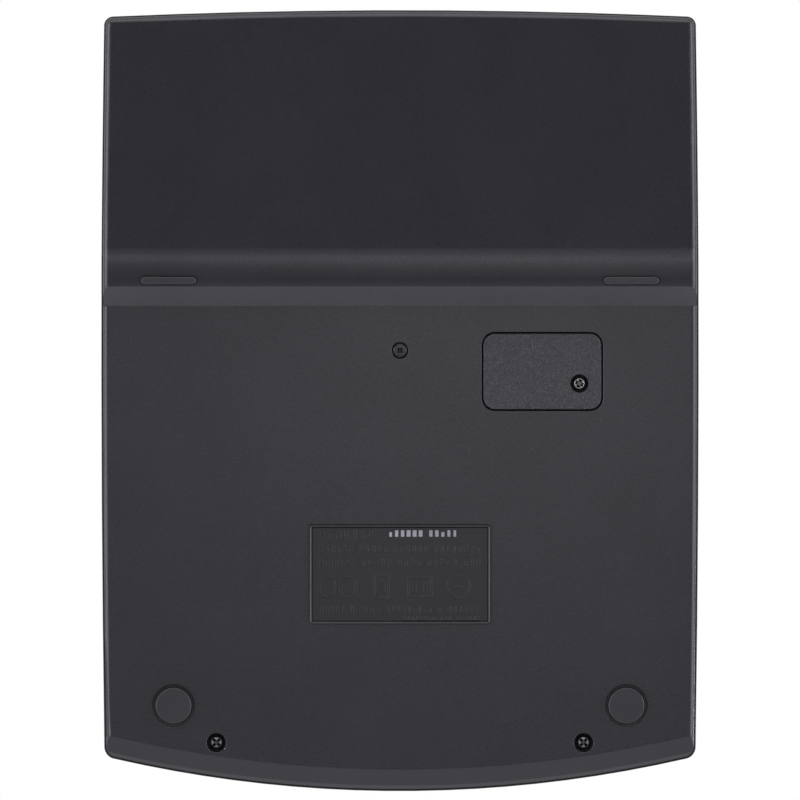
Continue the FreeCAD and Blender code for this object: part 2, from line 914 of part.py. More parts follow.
def deck_bosses():
    bosses = []
    for x, y in board_boss_places():
        height = dim.board_top - 1.05
        bosses.append(cylinder(x, y, -dim.board_top + 0.05, dim.board_boss_radius, height))
    return in_deck(fuse(*bosses))


def deck_openings():
    """Openings for the keys, slots for the switches and pilot holes for the board screws."""
    openings = []
    depth = dim.wall * 3
    for name, x, y, key_depth in key_places():
        width = dim.key_width + dim.key_gap * 2
        size = (width, key_depth + dim.key_gap * 2, depth, dim.key_corner + dim.key_gap)
        openings.append(rounded_plate(f"{name}_opening", x, y, -dim.wall * 1.5, *size))
    for name, rest, centre, travel in switch_places():
        width = travel + dim.knob_stem_width + 0.6
        slot = (width, dim.knob_stem_depth + 0.6, depth)
        openings.append(box(centre, dim.small_row, -dim.wall * 1.5, *slot))
    for x, y in board_boss_places():
        radius = dim.board_screw_radius + 0.02
        openings.append(cylinder(x, y, -dim.board_top - 1, radius, 4.6))
    return in_deck(fuse(*openings))


def plate_centre():
    return dim.plate_front + dim.plate_depth / 2


def display_openings():
    """The seat of the faceplate, the display's opening and the hole for the solar leads."""
    gap = 0.15
    seat = (dim.plate_width + 2 * gap, dim.plate_depth + 2 * gap, 3, dim.plate_corner + gap)
    recess = rounded_plate("plate_seat", 0, plate_centre(), -dim.plate_thickness, *seat)
    width, depth = dim.window_width - dim.ledge * 2, dim.window_depth - dim.ledge * 2
    view = box(0, dim.window_y, -6, width, depth, 7)
    leads = box(dim.solar_x, dim.solar_y, -6, 4, 3, 7)
    return in_display(fuse(recess, view, leads))


def build_keys():
    for name, x, y, depth in key_places():
        node(name, key_body(name, depth), DECK * Placement(Vector(x.value, y.value, 0), Rotation()))


def key_body(name, depth):
    """A hollow cap with a dished top, a flange that holds it under the deck, and a stem."""
    body = new_body(f"{name}_body")
    bottom = -dim.flange_top - dim.flange_thickness
    flange = new_sketch(body, lift=bottom)
    margin = dim.flange_margin * 2
    rectangle(flange, 0, 0, dim.key_width + margin, depth + margin, dim.key_corner)
    pad(body, flange, dim.flange_thickness)
    cap = new_sketch(body, lift=bottom)
    rectangle(cap, 0, 0, dim.key_width, depth, dim.key_corner)
    pad(body, cap, dim.key_height - bottom)
    dish = new_sketch(body, "XZ_Plane")
    half, top = dim.key_width / 2 + 1, dim.key_height
    radius = (half * half + dim.key_dish * dim.key_dish) / (dim.key_dish * 2)
    corners = [(-half, top), (half, top), (half, top + 2), (-half, top + 2)]
    closed_path(dish, corners, {0: radius})
    removed(body, pocket(body, dish))
    highest = top.value - dim.key_dish.value - 0.1
    fillet(body, dim.key_edge, lambda edge: middle(edge).z > highest)
    hollow = new_sketch(body, lift=bottom)
    walls = dim.key_wall * 2
    rectangle(hollow, 0, 0, dim.key_width - walls, depth - walls, dim.key_inner_corner)
    ceiling = top - dim.key_wall - dim.key_dish
    removed(body, pocket(body, hollow, ceiling - bottom, upwards=True))
    stem = new_sketch(body, lift=bottom)
    circle(stem, 0, 0, min_size(dim.stem_radius, depth / 2 - dim.key_wall - 0.5))
    pad(body, stem, ceiling - bottom + 0.3)
    return body


def min_size(first, second):
    return first if first.value < second.value else second


def build_switches():
    for name, rest, centre, travel in switch_places():
        body = new_body(f"{name}_knob_body")
        cap = new_sketch(body, lift=0.15)
        rectangle(cap, rest, dim.small_row, dim.knob_width, dim.knob_depth, dim.knob_corner)
        pad(body, cap, dim.knob_height)
        highest = dim.knob_height.value + 0.1
        fillet(body, dim.key_edge, lambda edge: middle(edge).z > highest)
        stem = new_sketch(body, lift=0.15)
        rectangle(stem, rest, dim.small_row, dim.knob_stem_width, dim.knob_stem_depth)
        pad(body, stem, dim.switch_stem_length, downwards=True)
        node(f"{name}_switch_knob", body, DECK)
        carriage = box(rest, dim.small_row, -3.95, 5.0, 4.4, 0.8)
        socket = box(rest, dim.small_row, -5, 3.04, 2.04, 3)
        fingers = [
            box(rest + offset, dim.small_row, -5.1, 0.5, 3.0, 1.3) for offset in (-1.9, 1.9)
        ]
        wiper = cut(fuse(carriage, *fingers), socket)
        node(f"{name}_switch_wiper", wiper, DECK)


def build_keypad():
    """The rubber sheet under the keys, with a dome below each one."""
    top = -dim.dome_top
    sheet_top = top - dim.dome_height
    width, depth = dim.board_width - 1, dim.sheet_back - dim.board_front
    y = (dim.sheet_back + dim.board_front) / 2
    parts = [box(0, y, sheet_top - dim.sheet_thickness, width, depth, dim.sheet_thickness)]
    for name, x, key_y, key_depth in key_places():
        low, high = dim.dome_radius, dim.dome_top_radius
        if key_depth is dim.small_key_depth:
            low, high = dim.small_dome_radius, dim.small_dome_radius * 0.7
        parts.append(cone(x, key_y, sheet_top - 0.1, low, high, dim.dome_height + 0.1))
    holes = board_holes(dim.board_boss_radius + 0.3) + switch_cut()
    node("rubber_keypad", cut(fuse(*parts), *holes), DECK)


def switch_cut():
    """The sheet is open below the two switches, whose wipers touch the board."""
    cuts = []
    for name, rest, centre, travel in switch_places():
        cuts.append(box(centre, dim.small_row + 2, -8, travel + 8, 11, 6))
    return cuts


def board_holes(boss_hole):
    """Holes round the centre boss, and holes of a given radius at the board's bosses."""
    centre_y = dim.centre_screw_y
    holes = [cylinder(0, centre_y, -12, dim.board_boss_radius + 0.35, 12)]
    for x, y in board_boss_places():
        holes.append(cylinder(x, y, -12, boss_hole, 12))
    return holes


def build_board():
    bottom = -dim.board_top - dim.board_thickness
    y = (dim.board_back + dim.board_front) / 2
    depth = dim.board_back - dim.board_front
    board = box(0, y, bottom, dim.board_width, depth, dim.board_thickness)
    node("main_board", cut(board, *board_holes(dim.board_screw_radius + 0.1)), DECK)
    screws = []
    for x, y in board_boss_places():
        head, shank = dim.board_screw_radius * 2, dim.board_screw_radius
        screws.append(screw(x, y, bottom - 1.0, head, shank, as_size(1.0), 4.2))
    node("board_screws", fuse(*screws), DECK)
    blob = doc.addObject("Part::Ellipsoid", "Blob")
    blob.setExpression("Radius1", dim.blob_height.formula)
    blob.setExpression("Radius2", dim.blob_radius.formula)
    blob.Angle1 = -90
    blob.Angle2 = 0
    place = Vector(dim.blob_x.value, dim.blob_y.value, bottom.value)
    node("chip_blob", blob, DECK * Placement(place, Rotation()))
    body = new_body("capacitor_body")
    plan = new_sketch(body, "YZ_Plane", lift=dim.capacitor_x)
    circle(plan, dim.capacitor_y, bottom - dim.capacitor_radius - 0.05, dim.capacitor_radius)
    pad(body, plan, dim.capacitor_length)
    leads = []
    for x in (dim.capacitor_x - 0.7, dim.capacitor_x + dim.capacitor_length):
        leads.append(box(x, dim.capacitor_y, bottom - 2.1, 1.2, 0.6, 2.1))
    node("capacitor", fuse(body, *leads), DECK)


def build_battery_parts():
    can_height = dim.battery_height - dim.battery_cap_height
    bottom = dim.battery_bottom
    can = cylinder(dim.battery_x, dim.cover_y, bottom, dim.battery_radius, can_height)
    cap_size = (dim.battery_cap_radius, dim.battery_cap_height)
    cap = cylinder(dim.battery_x, dim.cover_y, bottom + can_height, *cap_size)
    node("battery", fuse(can, cap), CASE)
    top = bottom + dim.battery_height
    leaf = box(dim.battery_x, dim.cover_y, top, 7, 3, dim.contact_thickness)
    leg = box(dim.battery_x, dim.cover_y, top, 1.2, dim.contact_thickness, 1.35)
    node("battery_contact_minus", fuse(leaf, leg), CASE)
    spring = box(*plus_contact_place(0))
    tail = box(spring_x(), dim.cover_y, 7.5, dim.contact_thickness, 1.2, 0.85)
    node("battery_contact_plus", fuse(spring, tail), CASE)
    body = new_body("cover_body")
    plan = new_sketch(body, lift=dim.cover_flush)
    size = (dim.cover_width, dim.cover_depth, dim.cover_corner)
    rectangle(plan, dim.cover_x, dim.cover_y, *size)
    pad(body, plan, dim.cover_thickness - dim.cover_flush)
    low = dim.cover_flush.value + 0.01
    fillet(body, dim.cover_edge, lambda edge: middle(edge).z < low)
    seat = new_sketch(body, lift=dim.cover_thickness)
    circle(seat, dim.cover_screw_x, dim.cover_screw_y, dim.cover_seat_radius)
    pad(body, seat, dim.cover_head_seat)
    bore = new_sketch(body)
    circle(bore, dim.cover_screw_x, dim.cover_screw_y, dim.cover_bore)
    removed(body, pocket(body, bore, dim.cover_bore_depth, upwards=True))
    hole = new_sketch(body)
    circle(hole, dim.cover_screw_x, dim.cover_screw_y, dim.cover_shank_radius + 0.05)
    removed(body, pocket(body, hole))
    node("battery_cover", body, CASE)
    head = dim.cover_bore_depth - dim.screw_head_height
    place = (dim.cover_screw_x, dim.cover_screw_y, head)
    sizes = (dim.cover_head_radius, dim.cover_shank_radius, dim.screw_head_height, 4.2)
    node("battery_cover_screw", screw(*place, *sizes, turn=-25.0), CASE)


def build_case_screws():
    screws = []
    turns = (20.0, -35.0, 10.0)
    for (x, y, seat), turn in zip(case_screw_places(), turns):
        height = dim.screw_head_height
        sizes = (dim.screw_head_radius, dim.screw_shank_radius, height, 6.0)
        screws.append(screw(x, y, seat - height, *sizes, turn=turn))
    node("case_screws", fuse(*screws), CASE)


def build_display():
    plate = (dim.plate_width, dim.plate_depth, dim.plate_thickness, dim.plate_corner)
    face = rounded_plate("face_blank", 0, plate_centre(), -dim.plate_thickness, *plate)
    gap = 0.4
    window = box(0, dim.window_y, -2, dim.window_width + gap, dim.window_depth + gap, 3)
    solar = box(dim.solar_x, dim.solar_y, -2, dim.solar_width + gap, dim.solar_depth + gap, 3)
    node("faceplate", cut(face, window, solar), DISPLAY)
    low = -dim.plate_thickness
    pane = (dim.window_width, dim.window_depth, dim.plate_thickness - 0.05, dim.pane_corner)
    node("display_window", rounded_plate("pane", 0, dim.window_y, low, *pane), DISPLAY)
    cell = (dim.solar_width, dim.solar_depth, dim.plate_thickness - 0.1, dim.pane_corner)
    node("solar_cell", rounded_plate("cell", dim.solar_x, dim.solar_y, low, *cell), DISPLAY)
    top = -dim.wall - 0.05
    frame_low = top - dim.frame_height
    frame = box(0, dim.window_y, frame_low, dim.frame_width, dim.frame_depth, dim.frame_height)
    glass = (dim.glass_width + gap, dim.glass_depth + gap)
    pocket_box = box(0, dim.window_y, frame_low - 1, *glass, dim.frame_height)
    view_size = (dim.window_width - 3, dim.window_depth - 3, dim.frame_height * 2)
    view = box(0, dim.window_y, frame_low - 1, *view_size)
    node("lcd_frame", cut(frame, pocket_box, view), DISPLAY)
    glass_bottom = top - 1.05 - dim.glass_thickness
    glass = (dim.glass_width, dim.glass_depth, dim.glass_thickness, as_size(0.5))
    node("lcd_panel", rounded_plate("glass", 0, dim.window_y, glass_bottom, *glass), DISPLAY)


def strip_along(name, points, x, width, thickness):
    """A thin strip bent along points in the side view, drawn as wide as width about x."""
    body = new_body(name)
    side = new_sketch(body, "YZ_Plane", lift=as_size(x) - as_size(width) / 2)
    lower = [(y + thickness * 0.7, z - thickness * 0.7) for y, z in points]
    closed_path(side, lower + points[::-1])
    pad(body, side, width)
    return body


def build_leads():
    """The flat cable of the display and the two leads of the solar cell."""
    ribbon = [(39.5, 9.8), (44.5, 9.9), (50.5, 10.8), (52.3, 11.2), (53.6, 12.7), (56.0, 13.1)]
    node("lcd_ribbon", strip_along("ribbon_body", ribbon, 0, 80, 0.25), CASE)
    lead = [(42.0, 9.7), (60.0, 9.5), (87.6, 13.0), (87.9, 22.2)]
    leads = [strip_along(f"lead_{side}", lead, dim.solar_x + side, 0.8, 0.6) for side in (-1, 1)]
    node("solar_leads", fuse(*leads), CASE)


def check_and_write():
    doc.recompute()
    for feature in doc.Objects:
        if "Invalid" in feature.State or "Error" in feature.State:
            raise RuntimeError(f"{feature.Label} ({feature.Name}) failed: {feature.State}")
    os.makedirs("parts", exist_ok=True)
    for name, feature in nodes.items():
        shape = feature.Shape
        if shape.isNull() or not shape.isValid():
            raise RuntimeError(f"{name} has no valid shape")
        shape.exportStep(f"parts/{name}.step")


def main():
    build_lower_case()
    build_feet()
    build_upper_case()
    build_keys()
    build_switches()
    build_keypad()
    build_board()
    build_battery_parts()
    build_case_screws()
    build_display()
    build_leads()
    check_and_write()


if __name__ == "__main__":
    main()
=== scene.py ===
import json
import math
import random

import bpy
from mathutils import Matrix, Vector


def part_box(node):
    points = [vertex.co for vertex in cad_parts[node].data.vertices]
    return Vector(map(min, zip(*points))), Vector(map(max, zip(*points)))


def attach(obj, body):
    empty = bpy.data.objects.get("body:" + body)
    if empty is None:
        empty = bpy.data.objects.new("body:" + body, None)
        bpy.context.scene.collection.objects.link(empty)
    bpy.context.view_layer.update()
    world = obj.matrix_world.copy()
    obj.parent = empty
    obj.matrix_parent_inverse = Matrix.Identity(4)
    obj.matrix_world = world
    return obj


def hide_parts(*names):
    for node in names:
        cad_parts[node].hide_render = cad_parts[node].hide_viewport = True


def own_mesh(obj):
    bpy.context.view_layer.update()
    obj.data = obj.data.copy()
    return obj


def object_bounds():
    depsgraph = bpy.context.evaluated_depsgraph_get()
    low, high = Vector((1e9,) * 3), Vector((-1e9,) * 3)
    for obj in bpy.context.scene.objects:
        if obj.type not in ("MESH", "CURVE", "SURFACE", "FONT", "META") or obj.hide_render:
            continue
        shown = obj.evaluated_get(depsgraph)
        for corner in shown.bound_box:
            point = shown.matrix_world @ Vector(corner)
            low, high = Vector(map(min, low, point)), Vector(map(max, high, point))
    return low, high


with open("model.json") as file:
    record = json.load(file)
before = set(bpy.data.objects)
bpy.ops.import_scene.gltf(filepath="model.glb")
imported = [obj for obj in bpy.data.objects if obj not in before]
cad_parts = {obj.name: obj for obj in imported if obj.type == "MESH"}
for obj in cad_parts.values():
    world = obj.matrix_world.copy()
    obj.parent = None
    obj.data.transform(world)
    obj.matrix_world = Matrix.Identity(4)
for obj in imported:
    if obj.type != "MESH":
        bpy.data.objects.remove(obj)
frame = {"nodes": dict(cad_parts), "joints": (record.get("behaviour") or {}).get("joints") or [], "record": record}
CAD_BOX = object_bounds()

MM = 0.001
WELD = 0.001 * MM  # corners nearer than this are one corner
SMOOTH_ANGLE = math.radians(35)  # edges sharper than this stay sharp
RECORD = frame["record"]
BODY_OF = {node: body for body, nodes in RECORD["behaviour"]["bodies"].items() for node in nodes}
SLOT_OF = {part["node"]: part["material_slot"] for part in RECORD["subparts"]}
JOINTS = {joint["name"]: joint for joint in frame["joints"]}

# The calculator stands tilted. Its flat underside, its key deck and its display each lean back
# about X by their own angle, read from the way that the battery cover and the keys move and from
# the faceplate's largest face.
cover_way = JOINTS["battery_cover_lift"]["axis"]
press_way = JOINTS["key_5_press"]["axis"]
plate_way = max(frame["nodes"]["faceplate"].data.polygons, key=lambda face: face.area).normal
CASE_TILT = math.atan2(cover_way[1], -cover_way[2])
DECK_TILT = math.atan2(press_way[1], -press_way[2])
DISPLAY_TILT = math.atan2(abs(plate_way.y), abs(plate_way.z))


def extent(node, tilt, left=-1.0, right=1.0):
    """The lowest and highest corner of what a node has between left and right, measured along
    axes that are tilted about X."""
    level = Matrix.Rotation(-tilt, 3, "X")
    places = [vertex.co for vertex in frame["nodes"][node].data.vertices]
    corners = [level @ place for place in places if left < place.x < right]
    return Vector(map(min, *corners)), Vector(map(max, *corners))


def head_places(node, sides):
    """Where the heads of a node's screws have the middle of their outer face, with the length
    of each screw, measured along the underside's axes. Each screw lies between two x limits."""
    found = []
    for left, right in sides:
        low, high = extent(node, CASE_TILT, left, right)
        found.append(((low.x + high.x) / 2, (low.y + high.y) / 2, low.z, high.z - low.z))
    return found


APART = 20 * MM
CASE_SCREWS = head_places("case_screws", ((-1.0, -APART), (-APART, APART), (APART, 1.0)))
COVER_SCREW = head_places("battery_cover_screw", ((-1.0, 1.0),))[0]

# Mesh tools ----------------------------------------------------------------------------------


def only(piece):
    """Makes a piece the only one selected, and the active one."""
    bpy.ops.object.select_all(action="DESELECT")
    piece.select_set(True)
    bpy.context.view_layer.objects.active = piece


def modify(piece, kind, **settings):
    """Gives a piece a modifier and applies it."""
    only(piece)
    modifier = piece.modifiers.new(kind.title(), kind)
    for name, value in settings.items():
        setattr(modifier, name, value)
    bpy.ops.object.modifier_apply(modifier=modifier.name)


def settle(piece, tilt, place):
    """Puts a piece at a place measured along tilted axes, and puts that into its mesh."""
    piece.matrix_world = Matrix.Rotation(tilt, 4, "X") @ Matrix.Translation(place)
    only(piece)
    bpy.ops.object.transform_apply(location=True, rotation=True, scale=True)


def added(name, mesh):
    """A new object in the scene with this mesh."""
    piece = bpy.data.objects.new(name, mesh)
    bpy.context.scene.collection.objects.link(piece)
    return piece


def joined(pieces):
    """One piece made of several."""
    only(pieces[0])
    for piece in pieces:
        piece.select_set(True)
    bpy.ops.object.join()
    return pieces[0]


def finished(piece, name, body, material=None):
    """Names a piece and one material unless it keeps those it has, and lets it
    ride with its body."""
    piece.name = piece.data.name = name
    if material:
        piece.data.materials.clear()
        piece.data.materials.append(material)
    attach(piece, body)
    return piece


# Materials -----------------------------------------------------------------------------------


DUST_SPACING = 5 * MM
DUST_RADIUS = 0.13 * MM
GAP_REACH = 1.6 * MM  # how near two walls are where the surface between them gets painted shade


def colour(code):
    """An sRGB hex colour as linear red, green, blue and alpha."""
    channels = [int(code[place : place + 2], 16) / 255 for place in (1, 3, 5)]
    linear = [c / 12.92 if c <= 0.04045 else ((c + 0.055) / 1.055) ** 2.4 for c in channels]
    return (*linear, 1.0)


def add(tree, kind, inputs=None, **settings):
    """A shader node with its settings, and its inputs set to values or linked from sockets."""
    new = tree.nodes.new(kind)
    for name, value in settings.items():
        setattr(new, name, value)
    for name, value in (inputs or {}).items():
        if isinstance(value, bpy.types.NodeSocket):
            tree.links.new(value, new.inputs[name])
        else:
            new.inputs[name].default_value = value
    return new


def empty_material(name):
    """A material with no shader nodes yet, and its node tree."""
    material = bpy.data.materials.new(name)
    material.use_nodes = True
    material.node_tree.nodes.clear()
    return material, material.node_tree


def close(tree, shader):
    """Links the last shader to the material's output."""
    add(tree, "ShaderNodeOutputMaterial", {"Surface": shader.outputs[0]})


def noise(tree, place, size, detail=2.0):
    """Noise whose lumps are about size across, from 0 to 1."""
    texture = add(
        tree, "ShaderNodeTexNoise", {"Vector": place, "Scale": 1 / size, "Detail": detail}
    )
    return texture.outputs["Fac"]


def between(tree, factor, low, high):
    """A number that goes from low to high as the factor goes from 0.3 to 0.7, where most of
    a noise lies."""
    spread = add(
        tree,
        "ShaderNodeMapRange",
        {"Value": factor, "From Min": 0.3, "From Max": 0.7, "To Min": low, "To Max": high},
    )
    return spread.outputs["Result"]


def blended(tree, factor, first, second):
    """A colour from first at a factor of 0 to second at 1."""
    mixed = add(tree, "ShaderNodeMix", {0: factor, 6: first, 7: second}, data_type="RGBA")
    return mixed.outputs[2]


def raised(tree, height, relief, edge):
    """A surface whose height varies by relief, and whose sharp edges are eased by a radius."""
    eased = add(tree, "ShaderNodeBevel", {"Radius": edge}, samples=6).outputs["Normal"]
    inputs = {"Height": height, "Distance": relief, "Strength": 1.0, "Normal": eased}
    return add(tree, "ShaderNodeBump", inputs).outputs["Normal"]


def specks(tree, place, spacing, radius, share):
    """1 on small specks scattered over the plan, and 0 elsewhere: one cell of the pattern is
    spacing wide, and this share of the cells holds a speck."""
    cells = add(
        tree,
        "ShaderNodeTexVoronoi",
        {"Vector": place, "Scale": 1 / spacing},
        voronoi_dimensions="2D",
    )
    near = add(
        tree,
        "ShaderNodeMath",
        {0: cells.outputs["Distance"], 1: radius / spacing},
        operation="LESS_THAN",
    )
    chosen = add(
        tree, "ShaderNodeMath", {0: cells.outputs["Color"], 1: share}, operation="LESS_THAN"
    )
    return add(
        tree,
        "ShaderNodeMath",
        {0: near.outputs[0], 1: chosen.outputs[0]},
        operation="MULTIPLY",
    ).outputs[0]


def hollow(tree):
    """Where painted shade goes: 1 down in narrow gaps and bores, and 0 on open faces."""
    openness = add(
        tree, "ShaderNodeAmbientOcclusion", {"Distance": GAP_REACH}, samples=6
    ).outputs["AO"]
    return add(
        tree,
        "ShaderNodeMapRange",
        {"Value": openness, "From Min": 0.62, "From Max": 0.3},
    ).outputs["Result"]


def moulded(
    name, dark, light, grain, relief, roughness, dusty=0.0, edge=0.25 * MM, hollows=False
):
    """A moulded plastic or rubber. Its tone drifts between two colours over a couple of
    centimetres, and the mould's grain gives it a fine relief and uneven gloss. With hollows,
    narrow gaps and bores are rougher, from the mould's rough pins, and get painted shade: their
    colour is darkened and their reflection dimmed."""
    material, tree = empty_material(name)
    place = add(tree, "ShaderNodeTexCoord").outputs["Object"]
    tone = blended(
        tree, between(tree, noise(tree, place, 22 * MM, 3.0), 0.0, 1.0), colour(dark), colour(light)
    )
    if dusty:
        dust = specks(tree, place, DUST_SPACING, DUST_RADIUS, dusty)
        tone = blended(tree, dust, tone, colour("#8c8a8c"))
    fine = noise(tree, place, grain, 2.0)
    gloss = between(tree, fine, roughness - 0.04, roughness + 0.04)
    if hollows:
        # painted shade: the tone darkens to near black down in gaps and bores, which are also rougher
        inside = hollow(tree)
        tone = blended(tree, inside, tone, colour("#0c0b0c"))
        gloss = add(
            tree, "ShaderNodeMath", {0: inside, 1: 0.5, 2: gloss}, operation="MULTIPLY_ADD"
        ).outputs[0]
    shader = add(
        tree,
        "ShaderNodeBsdfPrincipled",
        {
            "Base Color": tone,
            "Roughness": gloss,
            "Normal": raised(tree, fine, relief, edge),
        },
    )
    # painted shade: the reflection is dimmed down in gaps and bores
    if hollows:
        sheen = add(tree, "ShaderNodeMapRange", {"Value": inside, "To Min": 0.5, "To Max": 0.08})
        tree.links.new(sheen.outputs["Result"], shader.inputs["Specular IOR Level"])
    close(tree, shader)
    return material


def metal(name, tint, grain, relief, roughness, stretch=(1, 1, 1)):
    """A bare or plated metal with fine marks in it, drawn out along one axis by stretch, and
    with painted shade darkening its recesses."""
    material, tree = empty_material(name)
    place = add(tree, "ShaderNodeTexCoord").outputs["Object"]
    drawn = add(tree, "ShaderNodeMapping", {"Vector": place, "Scale": stretch}).outputs[0]
    marks = noise(tree, drawn, grain, 3.0)
    shader = add(
        tree,
        "ShaderNodeBsdfPrincipled",
        {
            # painted shade: the metal darkens down in recesses where walls are near
            "Base Color": blended(tree, hollow(tree), colour(tint), colour("#101011")),
            "Metallic": 1.0,
            "Roughness": between(tree, marks, roughness * 0.75, roughness * 1.25),
            "Normal": raised(tree, marks, relief, 0.08 * MM),
        },
    )
    close(tree, shader)
    return material


def striped(tree, place, axis, pitch, width):
    """1 on thin lines square to an axis, a pitch apart and this wide, and 0 between them."""
    along = add(tree, "ShaderNodeSeparateXYZ", {"Vector": place}).outputs[axis]
    step = add(tree, "ShaderNodeMath", {0: along, 1: pitch}, operation="DIVIDE").outputs[0]
    part = add(tree, "ShaderNodeMath", {0: step}, operation="FRACT").outputs[0]
    return add(
        tree, "ShaderNodeMath", {0: part, 1: width / pitch}, operation="LESS_THAN"
    ).outputs[0]


# Each moulded finish below: its name, its two tones, the size and the height of its grain, and its
# roughness, then the share of cells with a speck of dust on them and the radius of its edges.

# ABS moulded black in a spark-eroded tool: the fine grain makes it satin, so broad light spreads
# over it in a soft sheen and its rounded edges catch it. The real grain is near 0.1 mm, too fine
# to show, so it is drawn about three times as coarse.
case_abs = moulded(
    "moulded_black_abs",
    "#151417",
    "#19181b",
    0.32 * MM,
    0.010 * MM,
    0.29,
    0.06,
    0.4 * MM,
    hollows=True,
)
# the battery cover comes from its own tool, with a deeper grain that glints
cover_abs = moulded(
    "eroded_black_abs",
    "#17161a",
    "#1c1b1f",
    0.55 * MM,
    0.5 * MM,
    0.34,
    0.06,
    hollows=True,
)
# the rating marks are polished in the mould, so they look darker than the grain round them
polished_abs = moulded("polished_black_abs", "#121113", "#141316", 2 * MM, 0.002 * MM, 0.24)
# the recess floor behind them has a duller grain
dull_abs = moulded("dull_black_abs", "#0a090b", "#0d0c0e", 0.4 * MM, 0.012 * MM, 0.34)
# ink rubbed into the rating panel: flat, pale grey and a little worn
panel_ink = moulded("worn_pad_ink", "#737176", "#8b898c", 0.5 * MM, 0.004 * MM, 0.6)
# soft black rubber, matt, with a fine bloom on it
foot_rubber = moulded(
    "moulded_black_rubber", "#19181b", "#1e1d20", 0.4 * MM, 0.02 * MM, 0.42, 0.06
)
# two-shot ABS keys with a satin tool finish
light_abs = moulded("satin_light_grey_abs", "#c6c5c0", "#cdccc8", 0.3 * MM, 0.006 * MM, 0.38)
dark_abs = moulded("satin_dark_grey_abs", "#3d3d40", "#424245", 0.3 * MM, 0.006 * MM, 0.38)
red_abs = moulded("satin_red_abs", "#a62a24", "#ae302a", 0.3 * MM, 0.006 * MM, 0.38)
# legends printed with thick ink
dark_ink = moulded("black_legend_ink", "#1c1c1e", "#202022", 0.3 * MM, 0.002 * MM, 0.45)
pale_ink = moulded("white_legend_ink", "#e4e4e0", "#ececea", 0.3 * MM, 0.002 * MM, 0.45)
# aluminium sheet, brushed along its length and anodised black
plate_metal = metal(
    "brushed_black_anodised_aluminium", "#3a3a3e", 0.22 * MM, 0.004 * MM, 0.34, (0.03, 1, 1)
)
zinc_steel = metal("zinc_plated_steel", "#8a8886", 0.5 * MM, 0.006 * MM, 0.26)
oxide_steel = metal("black_oxide_steel", "#8a888b", 0.4 * MM, 0.008 * MM, 0.36)
# the middle screw is lacquered like the case, so it hardly shows
black_lacquer = moulded("black_lacquered_steel", "#151417", "#19181b", 0.5 * MM, 0.01 * MM, 0.3)
nickel_steel = metal("nickel_plated_steel", "#d0cbc0", 0.8 * MM, 0.003 * MM, 0.18)
spring_steel = metal("plated_spring_steel", "#bdb6a4", 0.4 * MM, 0.004 * MM, 0.3, (0.1, 1, 1))
# inside the case
board_paper = moulded("phenolic_paper_laminate", "#3a2f1e", "#423623", 0.6 * MM, 0.01 * MM, 0.5)
grey_silicone = moulded(
    "translucent_grey_silicone", "#8d9092", "#999c9e", 0.7 * MM, 0.01 * MM, 0.5
)
inner_plastic = moulded("plain_black_plastic", "#19191b", "#1e1e20", 0.5 * MM, 0.01 * MM, 0.5)
amber_film = moulded("amber_polyimide_film", "#a9651c", "#b57126", 1.0 * MM, 0.003 * MM, 0.2)
red_sleeve = moulded("red_wire_insulation", "#8f1c18", "#9c241f", 0.8 * MM, 0.01 * MM, 0.4)


def clear_acrylic():
    """Polished acrylic sheet: clear, with a sharp gloss and a slight haze of fine wiping marks."""
    material, tree = empty_material("polished_clear_acrylic")
    place = add(tree, "ShaderNodeTexCoord").outputs["Object"]
    haze = noise(tree, place, 9 * MM, 4.0)
    shader = add(
        tree,
        "ShaderNodeBsdfPrincipled",
        {
            "Base Color": colour("#c9cccb"),
            "Roughness": between(tree, haze, 0.03, 0.09),
            "IOR": 1.49,
            "Alpha": 0.12,
        },
    )
    close(tree, shader)
    return material


def crystal_glass():
    """Liquid crystal glass over a reflecting film: grey-green, with the film's fine grain."""
    material, tree = empty_material("liquid_crystal_glass")
    place = add(tree, "ShaderNodeTexCoord").outputs["Object"]
    film = noise(tree, place, 0.25 * MM, 1.0)
    shader = add(
        tree,
        "ShaderNodeBsdfPrincipled",
        {
            "Base Color": blended(tree, film, colour("#8d9686"), colour("#9da594")),
            "Roughness": between(tree, noise(tree, place, 6 * MM), 0.10, 0.16),
            "IOR": 1.52,
            "Coat Weight": 0.5,
            "Coat Roughness": 0.04,
        },
    )
    close(tree, shader)
    return material


def silicon_cells(node):
    """Amorphous silicon under glass: dark brown-violet cells, parted by thin pale lines."""
    material, tree = empty_material("amorphous_silicon_cells")
    low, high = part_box(node)
    cells, gap = 4, 0.25 * MM
    centred = add(
        tree,
        "ShaderNodeMapping",
        {
            "Vector": add(tree, "ShaderNodeTexCoord").outputs["Object"],
            "Location": (-low.x + gap / 2, -low.y, -low.z),
        },
    ).outputs[0]
    line = striped(tree, centred, "X", (high.x - low.x) / cells, gap)
    film = noise(tree, centred, 7 * MM, 3.0)
    shader = add(
        tree,
        "ShaderNodeBsdfPrincipled",
        {
            "Base Color": blended(
                tree,
                line,
                blended(tree, film, colour("#241318"), colour("#33191e")),
                colour("#5d5048"),
            ),
            "Roughness": between(tree, film, 0.06, 0.12),
            "IOR": 1.52,
            "Coat Weight": 1.0,
            "Coat Roughness": 0.03,
        },
    )
    close(tree, shader)
    return material


# display segments: nearly clear at rest, near black when driven
resting_crystal = moulded("resting_liquid_crystal", "#848d7e", "#89927f", 1 * MM, 0.001 * MM, 0.2)
driven_crystal = moulded("driven_liquid_crystal", "#1f2320", "#252924", 1 * MM, 0.001 * MM, 0.2)

